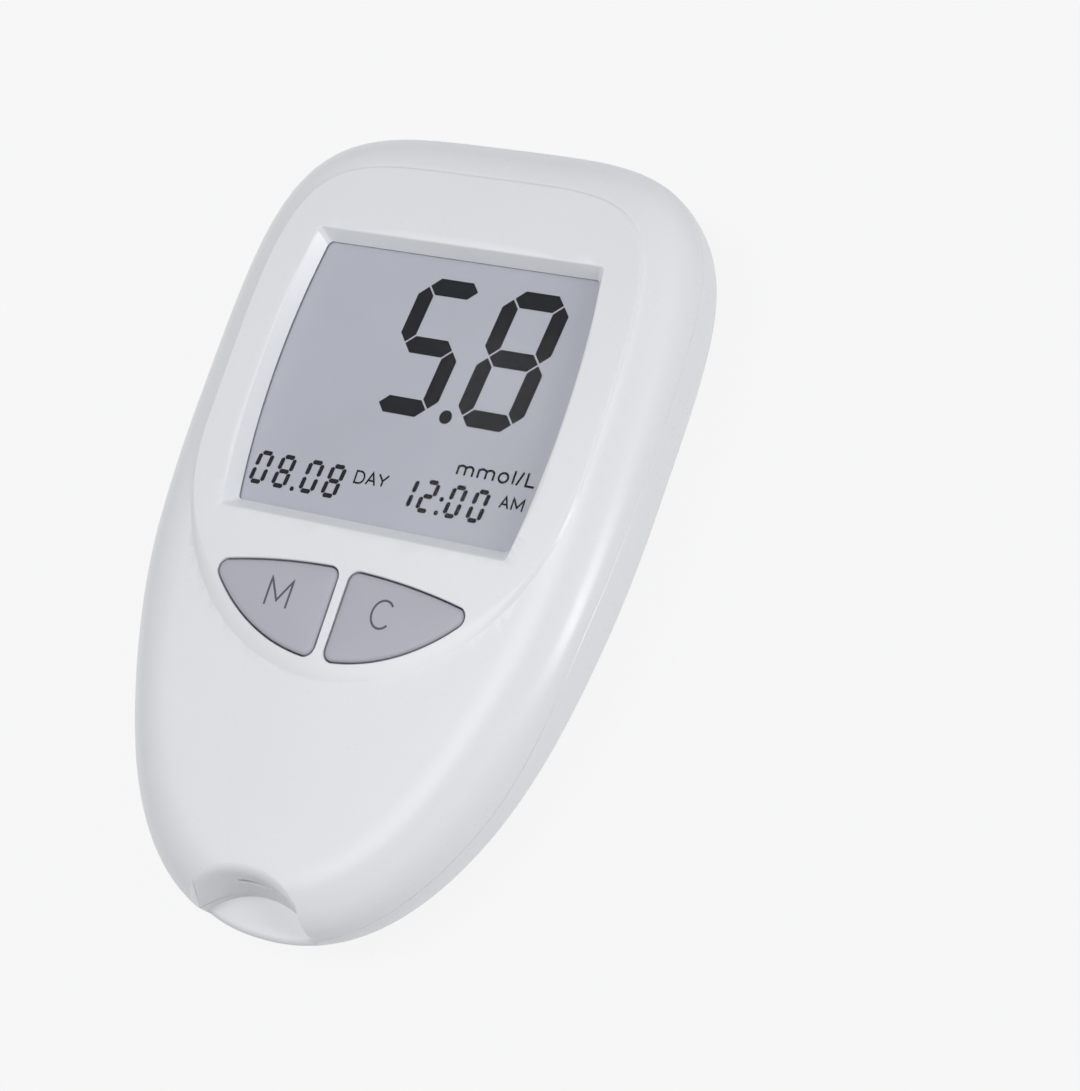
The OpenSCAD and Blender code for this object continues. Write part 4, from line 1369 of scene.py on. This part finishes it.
def rear_hollow():
    rings = belly_rings(WALL, FLOOR_THICKNESS, 0, rows=8)
    high = egg_ring(WALL, lambda y: parting_z(y) + 2)
    body = solid_of_rings("rear_hollow", [tip(rings[0])] + rings + [high, tip(high)])
    return combine(body, "DIFFERENCE", shelf_body())


combine(rear, "DIFFERENCE", rear_hollow())
print("rear shell, hollowed:", len(rear.data.vertices), "points")

# %% Lip that finds its way into the front shell
LIP_ROOT = 0.8


def lip_body():
    lip = parting_body("lip", WALL / 2 + LIP_GAP, WALL + 0.1, LIP_ROOT, LIP_HEIGHT)
    rings = [egg_ring(WALL, lambda y: 1.0), egg_ring(WALL, lambda y: PARTING_TOP + 3)]
    core = solid_of_rings("lip_core", [tip(rings[0])] + rings + [tip(rings[1])])
    return combine(lip, "DIFFERENCE", core)


print("the lip's root reaches", LIP_ROOT, "mm below the parting line")

# %% Posts, bay and ears
BAY_WALL = 1.35
EAR_END = 15.15
EAR_HALF_LENGTH = 1.6
EAR_TOP = 2.5


def rear_blocks():
    """Screw posts, the battery bay's block and the ears that hold the door's lugs."""
    low = FLOOR_THICKNESS - 0.2
    blocks = []
    for x, y in CASE_SCREWS:
        blocks.append(prism("post", circle(x, y, CASE_POST_RADIUS, 40), low, BOSS_MEET))
    bay_y = (HINGE_Y - BARREL_RADIUS - BAY_WALL, DOOR_TOP + BAY_WALL)
    blocks.append(block("bay", -BAY_HALF_WIDTH, BAY_HALF_WIDTH, *bay_y, low, BAY_TOP))
    ear_y = (HINGE_Y - EAR_HALF_LENGTH, HINGE_Y + EAR_HALF_LENGTH)
    blocks.append(block("ears", -EAR_END, EAR_END, *ear_y, low, EAR_TOP))
    return blocks


combine(rear, "UNION", lip_body(), *rear_blocks())
print("rear shell with its bay:", len(rear.data.vertices), "points")

# %% [markdown]
# ## Battery bay and screw holes
# The door lies flush in the flat back, so only its gap shows, with a notch for a nail. Mould
# edges are never razor-sharp: each opening widens a little over the last tenth of a millimetre,
# which catches a thin light.

# %% Outline of the door
MOUTH = 0.12
DOOR_CORNER = 1.6
CORNER_STEPS = 12


def door_line(grow):
    """Outline of the door, with round corners at its free end."""
    half, low, high = DOOR_HALF_WIDTH + grow, HINGE_Y - grow, DOOR_TOP + grow
    corner = DOOR_CORNER + grow
    line = [(-half, low), (half, low)]
    for middle, start in ((half - corner, 0.0), (corner - half, 0.5)):
        for k in range(CORNER_STEPS + 1):
            turn = math.pi * (start + 0.5 * k / CORNER_STEPS)
            line.append((middle + corner * math.cos(turn), high - corner + corner * math.sin(turn)))
    return line


def ring_tool(name, line, levels):
    """Tool over an outline function, from (growth, height)."""
    rings = [[(x, y, z) for x, y in line(grow)] for grow, z in levels]
    return solid_of_rings(name, [tip(rings[0])] + rings + [tip(rings[-1])])


def with_mouth(grow, top):
    """Levels of a straight opening whose mouth at the back widens."""
    mouth = [(0, MOUTH), (0.3 * MOUTH, 0.3 * MOUTH), (MOUTH, 0), (3 * MOUTH, -0.5)]
    return [(grow, top)] + [(grow + wider, z) for wider, z in mouth]


print("points round the door:", len(door_line(0)))

# %% Room for the door
NOTCH_RADIUS = 3.2
NOTCH_DEPTH = 0.9


def door_tools():
    """The door's room, a notch for a nail, and room for the bar and its lugs."""
    def notch_line(grow):
        return circle(0, DOOR_TOP, NOTCH_RADIUS + grow, 64)

    reach, half = DOOR_HALF_WIDTH + DOOR_GAP, BARREL_RADIUS + DOOR_GAP
    trough_top = 2 * BARREL_RADIUS + DOOR_GAP
    return [
        ring_tool("door_room", door_line, with_mouth(DOOR_GAP, DOOR_THICKNESS + DOOR_GAP)),
        ring_tool("notch", notch_line, with_mouth(0, NOTCH_DEPTH)),
        block("trough", -reach, reach, HINGE_Y - half, HINGE_Y + half, -1, trough_top),
        rod("lug_bore", LUG_END + 0.2, HINGE_Y, BARREL_RADIUS, LUG_RADIUS + 0.06),
    ]


print("the notch is", NOTCH_DEPTH, "mm deep")

# %% Room for the cell and its contacts
CELL_GAP = 0.25
CELL_ROOM_TOP = 5.3
CORE_X = 10.35
CORE_RADIUS = 1.6


def cell_tools():
    """The cell's round room, four cores in the block's corners, and slots for two contacts."""
    x, y = CELL_PLACE
    above = BAY_TOP + 1
    tools = [prism("cell_room", circle(x, y, CELL_RADIUS + CELL_GAP, 96), -1, CELL_ROOM_TOP)]
    for side_x in (-1, 1):
        for side_y in (-1, 1):
            core = circle(side_x * CORE_X, y + side_y * CELL_RADIUS, CORE_RADIUS, 32)
            tools.append(prism("core", core, DOOR_THICKNESS + 1.6, above))
    tools.append(block("plus_pocket", 8, 11.4, y - 2.6, y + 2.6, 1.3, above))
    tools.append(block("minus_slot", -2.3, 2.3, y + 6.4, y + 7.4, 4.3, above))
    return tools


print("the cell's room is", 2 * (CELL_RADIUS + CELL_GAP), "mm across")

# %% Screw holes, and the rear shell is done
SCREW_HOLE = 0.95
SCREW_HEAD_HOLE = 1.65
SCREW_HEAD_DEPTH = 2.4


def screw_hole(place):
    head = [(z, r) for r, z in with_mouth(SCREW_HEAD_HOLE, SCREW_HEAD_DEPTH)]
    shank = [(SCREW_HEAD_DEPTH, SCREW_HOLE), (BOSS_MEET + 1, SCREW_HOLE)]
    return stepped_pin("screw_hole", place, head[::-1] + shank)


screw_holes = [screw_hole(place) for place in CASE_SCREWS]
combine(rear, "DIFFERENCE", tongue_tool(), *door_tools(), *cell_tools(), *screw_holes)
finish_piece(rear, "root", "case_plastic", "rear_case")

# %% [markdown]
# ## Battery door
# The door is a flat plate with a bar along one end. Two lugs at the ends of the bar turn in the
# ears of the rear shell. The plate is a stack of rings with a chamfered lower edge, and four
# rounded grooves near its free end give a nail something to push. It rides on its own body, so it
# tilts out with its joint.

# %% Battery door
GRIP_WIDTH = 8.0
GRIP_COUNT = 4
GRIP_PITCH = 1.1
GRIP_RADIUS = 0.3
GRIP_Z = -0.05


def make_battery_door():
    levels = [(-0.16, 0), (-0.05, 0.03), (0, 0.14), (0, DOOR_THICKNESS)]
    door = ring_tool("battery_door_plate", door_line, levels)
    barrel = rod("barrel", DOOR_HALF_WIDTH, HINGE_Y, BARREL_RADIUS, BARREL_RADIUS)
    lugs = rod("lugs", LUG_END, HINGE_Y, BARREL_RADIUS, LUG_RADIUS)
    combine(door, "UNION", barrel, lugs)
    first = DOOR_TOP - 2 + GRIP_PITCH / 4
    grips = []
    for i in range(GRIP_COUNT):
        y = first - i * GRIP_PITCH
        grips.append(rod("grip", GRIP_WIDTH / 2, y, GRIP_Z, GRIP_RADIUS, ends=GRIP_RADIUS))
    combine(door, "DIFFERENCE", *grips)
    return finish_piece(door, "battery_door", "case_plastic", "battery_door")


make_battery_door()

# %% [markdown]
# ## Keys
# Each key is a cap that looks out of the panel, a flange under the panel that keeps it from
# falling out, and a plunger that reaches the dome on the board. The cap's top is slightly
# pillowed, so it shows a soft change of light where a flat face would look like a painted patch.

# %% Key cap
CAP_DEPTH = 0.054
CAP_EDGE = 0.4
CAP_EDGE_DROP = 0.26
PILLOW = 0.07
FLANGE_DEPTH = 2.165
FLANGE_THICKNESS = 0.7
EDGE_STEPS = 6
PILLOW_SHARES = (0.93, 0.86, 0.78, 0.68, 0.56, 0.42, 0.26, 0.1)


def key_cap():
    rings = []
    for depth in (FLANGE_DEPTH + FLANGE_THICKNESS / 2, CAP_DEPTH + PILLOW + CAP_EDGE_DROP):
        rings.append([on_face(x, y, depth) for x, y in grown(key_outline, 0)])
    for k in range(1, EDGE_STEPS + 1):
        turn = math.pi / 2 * k / EDGE_STEPS
        depth = CAP_DEPTH + PILLOW + CAP_EDGE_DROP * (1 - math.sin(turn))
        inset = CAP_EDGE * (1 - math.cos(turn))
        rings.append([on_face(x, y, depth) for x, y in grown(key_outline, -inset)])
    rim = grown(key_outline, -CAP_EDGE)
    middle = sum(rim, Vector((0, 0))) / len(rim)
    for share in PILLOW_SHARES:
        depth = CAP_DEPTH + PILLOW * share ** 2
        rings.append([on_face(*middle.lerp(p, share), depth) for p in rim])
    return solid_of_rings("left_key_cap", [tip(rings[0])] + rings + [tip(rings[-1])])


print("the key's middle stands", PILLOW, "mm above its rim")

# %% Flange and plunger
FLANGE_WIDTH = 0.8
PLUNGER = (-6.0, RECESS_TAIL - 7.8, 1.3)
PLUNGER_END = 4.3


def key_flange():
    line = [(min(x, -KEY_GAP), y) for x, y in grown(key_outline, FLANGE_WIDTH)]
    return square_to_face("flange", line, (FLANGE_DEPTH + FLANGE_THICKNESS, FLANGE_DEPTH))


def key_plunger():
    x, y, radius = PLUNGER
    levels = [
        (PLUNGER_END, 0.85), (PLUNGER_END - 0.15, 0.98),
        (PLUNGER_END - 0.4, 1), (FLANGE_DEPTH + 0.2, 1),
    ]
    rings = []
    for depth, share in levels:
        rings.append([on_face(u, v, depth) for u, v in circle(x, y, radius * share, 40)])
    return solid_of_rings("plunger", [tip(rings[0])] + rings + [tip(rings[-1])])


left_key = combine(key_cap(), "UNION", key_flange(), key_plunger())
print("left key:", len(left_key.data.vertices), "points")

# %% The right key is the left one mirrored


def mirrored_copy(name, piece):
    bm = bmesh.new()
    bm.from_mesh(piece.data)
    bm.transform(Matrix.Scale(-1, 4, (1, 0, 0)))
    bmesh.ops.reverse_faces(bm, faces=bm.faces)
    return to_object(name, bm)


right_key = mirrored_copy("right_key_cap", left_key)
print("right key:", len(right_key.data.vertices), "points")

# %% [markdown]
# ## Ink on the keys and on the display
# Printing is a film far thinner than a hair. Flat ribbons that lie a hundredth of a millimetre
# above the surface stand for it: a letter is a few strokes of one width, and a display's digit is
# seven bars with pointed ends. The strokes are dropped onto the pillowed key along the face's own
# direction.

# %% Letters as lines
CURVE_STEPS = 20


def arc(cx, cy, rx, ry, start, end):
    """Points along part of an ellipse, with its angles in degrees."""
    points = []
    for k in range(CURVE_STEPS + 1):
        turn = math.radians(start + (end - start) * k / CURVE_STEPS)
        points.append((cx + rx * math.cos(turn), cy + ry * math.sin(turn)))
    return points


LETTERS = {
    "A": [[(0, 0), (0.5, 1), (1, 0)], [(0.18, 0.34), (0.82, 0.34)]],
    "M": [[(0, 0), (0, 1), (0.5, 0.22), (1, 1), (1, 0)]],
    "C": [arc(0.52, 0.5, 0.52, 0.5, 42, 318)],
    "D": [[(0.45, 0), (0, 0), (0, 1), (0.45, 1)], arc(0.45, 0.5, 0.55, 0.5, -90, 90)],
    "Y": [[(0, 1), (0.5, 0.46), (1, 1)], [(0.5, 0.46), (0.5, 0)]],
    "L": [[(0, 1), (0, 0), (1, 0)]],
    "l": [[(0, 0), (0, 1)]],
    "/": [[(0, 0), (1, 1)]],
    "o": [arc(0.5, 0.5, 0.5, 0.5, 0, 360)],
    "m": [
        [(0, 0), (0, 1)],
        arc(0.25, 0.68, 0.25, 0.32, 180, 0) + [(0.5, 0)],
        arc(0.75, 0.68, 0.25, 0.32, 180, 0) + [(1, 0)],
    ],
}
print("letters:", "".join(sorted(LETTERS)))

# %% Lines get a width
LONGEST_MITRE = 2.2
SAME_PLACE = 1e-6


def ribbon(points, width):
    """Quads of a stroke of one width, with mitred bends."""
    points = [Vector(p) for p in points]
    closed = (points[0] - points[-1]).length < SAME_PLACE
    sides = []
    for i, p in enumerate(points):
        before = points[i - 1] if i else (points[-2] if closed else p)
        after = points[i + 1] if i + 1 < len(points) else (points[1] if closed else p)
        first, second = p - before, after - p
        first = (first if first.length > SAME_PLACE else second).normalized()
        second = second.normalized() if second.length > SAME_PLACE else first
        across = Vector((-first.y - second.y, first.x + second.x)).normalized()
        mitre = 1 / max(1 / LONGEST_MITRE, across.dot(Vector((-first.y, first.x))))
        half = across * width / 2 * mitre
        sides.append((p + half, p - half))
    return [[a[0], b[0], b[1], a[1]] for a, b in zip(sides, sides[1:])]


print("a stroke with one bend has", len(ribbon([(0, 0), (1, 0), (1, 1)], 0.1)), "quads")

# %% A letter in its box
STROKE_STEP = 0.4


def in_steps(points, step=STROKE_STEP):
    """The same line with more points on it, so that it can follow a curved surface."""
    line = [Vector(points[0])]
    for p in points[1:]:
        start, end = line[-1].copy(), Vector(p)
        count = max(1, math.ceil((end - start).length / step))
        line += [start.lerp(end, (i + 1) / count) for i in range(count)]
    return line


def letter(name, low, high, width):
    """Polygons of a letter whose strokes fill a box."""
    polygons = []
    for stroke in LETTERS[name]:
        half = width / 2
        spans = [max(SAME_PLACE, high[k] - low[k] - width) for k in (0, 1)]
        placed = [(low[0] + half + u * spans[0], low[1] + half + v * spans[1]) for u, v in stroke]
        polygons += ribbon(in_steps(placed), width)
    return polygons


print("quads of a wide L:", len(letter("L", (0, 0), (4, 6), 0.5)))

# %% Printing on a surface
INK_LIFT = 0.012


def printed(name, polygons, place):
    """Flat mesh of polygons, with a function that puts each point in space."""
    bm = bmesh.new()
    for polygon in polygons:
        bm.faces.new([bm.verts.new(place(p)) for p in polygon])
    for face in bm.faces:
        face.normal_update()
        if face.normal.z < 0:
            face.normal_flip()
    mesh = bpy.data.meshes.new(name)
    bm.to_mesh(mesh)
    bm.free()
    obj = bpy.data.objects.new(name, mesh)
    bpy.context.scene.collection.objects.link(obj)
    return obj


def onto(piece):
    """Function that drops a point onto a piece, along the face's direction."""
    points = [vertex.co for vertex in piece.data.vertices]
    surface = BVHTree.FromPolygons(points, [tuple(face.vertices) for face in piece.data.polygons])
    down = on_face(0, 0, 1) - on_face(0, 0, 0)

    def place(p):
        hit = surface.ray_cast(on_face(p[0], p[1], -2), down)[0]
        return hit - down * INK_LIFT

    return place


print("ink lies", INK_LIFT, "mm above its surface")

# %% Letters on the keys
KEY_STROKE = 0.24
M_STROKES = letter("M", (-8.05, -10.8), (-5.2, -7.7), KEY_STROKE)
C_STROKES = letter("C", (4.5, -10.75), (7.1, -7.65), KEY_STROKE)
letter_m = printed("letter_left", M_STROKES, onto(left_key))
letter_c = printed("letter_right", C_STROKES, onto(right_key))
finish_piece(left_key, "left_key", "key_plastic", "left_key")
finish_piece(right_key, "right_key", "key_plastic", "right_key")
finish_piece(letter_m, "left_key", "key_plastic", material="letter_ink")
finish_piece(letter_c, "right_key", "key_plastic", material="letter_ink")

# %% [markdown]
# ## Digits and words of the display
# A display of this kind can darken only the areas that are etched into its glass: seven bars for
# a digit, and whole words. A digit is drawn upright, where its bars meet at 45 degrees, and then
# leaned over, so that all its gaps stay even. The words use the same ribbons as the letters on
# the keys.

# %% A bar and a digit
DIGIT_SLANT = 0.109
SEGMENTS = {"0": "abcdef", "1": "bc", "2": "abged", "5": "afgcd", "8": "abcdefg"}


def bar(start, end, width, gap, point):
    """Bar with pointed ends, or nearly square ones where point is small."""
    start, end = Vector(start), Vector(end)
    along = (end - start).normalized()
    across = Vector((-along.y, along.x)) * width / 2
    start, end = start + along * gap, end - along * gap
    taper = along * point
    near, far = start + taper, end - taper
    return [start, near + across, far + across, end, far - across, near - across]


def digit(figure, x, low, middle, high, width, stroke, gap, point):
    """Polygons of one seven-bar digit, drawn upright and then leaned. x is its lower left."""
    left, right = x, x + width
    bars = {
        "a": ((left, high), (right, high)), "b": ((right, middle), (right, high)),
        "c": ((right, low), (right, middle)), "d": ((left, low), (right, low)),
        "e": ((left, low), (left, middle)), "f": ((left, middle), (left, high)),
        "g": ((left, middle), (right, middle)),
    }
    def leaned(p):
        return Vector((p.x + DIGIT_SLANT * (p.y - low), p.y))

    polygons = [bar(*bars[name], stroke, gap, point) for name in SEGMENTS[figure]]
    return [[leaned(p) for p in polygon] for polygon in polygons]


def dot(x, y, radius):
    return [[Vector(p) for p in circle(x, y, radius, 28)]]


print("bars of an 8:", len(digit("8", 0, 0, 1, 2, 1, 0.2, 0.01, 0.1)))

# %% Reading, date and time
BIG_STROKE = 1.82
SMALL_STROKE = 0.48
BIG_BAR = (BIG_STROKE, 0.13, BIG_STROKE / 2)
SMALL_BAR = (SMALL_STROKE, 0.1, 0.16)
ROWS = [
    ("58", (-4.16, 5.96), (12.17, 18.65, 25.0), 5.92, BIG_BAR),
    ("0808", (-15.95, -13.12, -9.67, -6.93), (1.75, 3.3, 4.85), 1.42, SMALL_BAR),
    ("1200", (1.97, 4.44, 7.68, 10.36), (2.09, 3.59, 5.09), 1.3, SMALL_BAR),
]
DOTS = [(4.18, 11.81, 0.72), (-10.63, 1.71, 0.25), (6.89, 3.57, 0.25), (6.75, 2.13, 0.25)]

marks = []
for figures, places, heights, width, bar_shape in ROWS:
    for figure, x in zip(figures, places):
        marks += digit(figure, x, *heights, width, *bar_shape)
for place in DOTS:
    marks += dot(*place)
print("bars and dots:", len(marks))

# %% Words, and the ink is printed
INK_DEPTH = 1.765
WORD_STROKE = 0.2
UNIT_STROKE = 0.25
WORDS = [
    ("D", (-3.8, 3.48), (-2.56, 4.91), WORD_STROKE),
    ("A", (-2.41, 3.52), (-1.16, 4.98), WORD_STROKE),
    ("Y", (-1.11, 3.56), (0.23, 4.99), WORD_STROKE),
    ("A", (13.36, 3.77), (14.52, 5.13), WORD_STROKE),
    ("M", (14.72, 3.77), (16.13, 5.15), WORD_STROKE),
    ("m", (7.45, 6.21), (9.44, 7.42), UNIT_STROKE),
    ("m", (9.84, 6.22), (11.88, 7.43), UNIT_STROKE),
    ("o", (12.23, 6.23), (13.54, 7.46), UNIT_STROKE),
    ("l", (13.92, 6.24), (13.92, 7.88), UNIT_STROKE),
    ("/", (14.37, 6.21), (15.14, 7.88), UNIT_STROKE),
    ("L", (15.43, 6.31), (16.66, 7.9), UNIT_STROKE),
]
for word in WORDS:
    marks += letter(*word)
display_marks = printed("display_marks", marks, lambda p: on_face(*p, INK_DEPTH))
finish_piece(display_marks, "root", "lcd_glass", material="lcd_ink")

# %% [markdown]
# ## Display picture
# Acrylic bends light, so the display's picture seems to float up towards the window's face
# instead of lying on the glass two layers below. A true refracting window would need many more
# light paths for that. A sheet with the display's grey, just under the window's face, shows the
# picture where an eye finds it.

# %% Picture sheet
PICTURE_DEPTH = 1.78
PICTURE_THICKNESS = 0.05
PICTURE_LAP = 0.9


def make_picture_sheet():
    line = grown(hole_outline, PICTURE_LAP)
    depths = (PICTURE_DEPTH + PICTURE_THICKNESS, PICTURE_DEPTH)
    return finish_piece(square_to_face("picture_sheet", line, depths), "root", "lcd_glass")


make_picture_sheet()

# %% [markdown]
# ## Parts that stay as they are
# The board, its chips, the cell and the screws come straight from CAD, and their shapes are
# right. Each of them already has a slot with the name of its finish, so all that is left is to
# fill the slots.

# %% Carried-over parts get their finishes
REPLACED = {"front_case", "rear_case", "battery_door", "left_key", "right_key"}
for name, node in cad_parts.items():
    if name in REPLACED:
        continue
    for holder in node.material_slots:
        holder.material = finish[holder.material.name.split(".")[0]]
print("carried over:", len(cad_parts) - len(REPLACED))
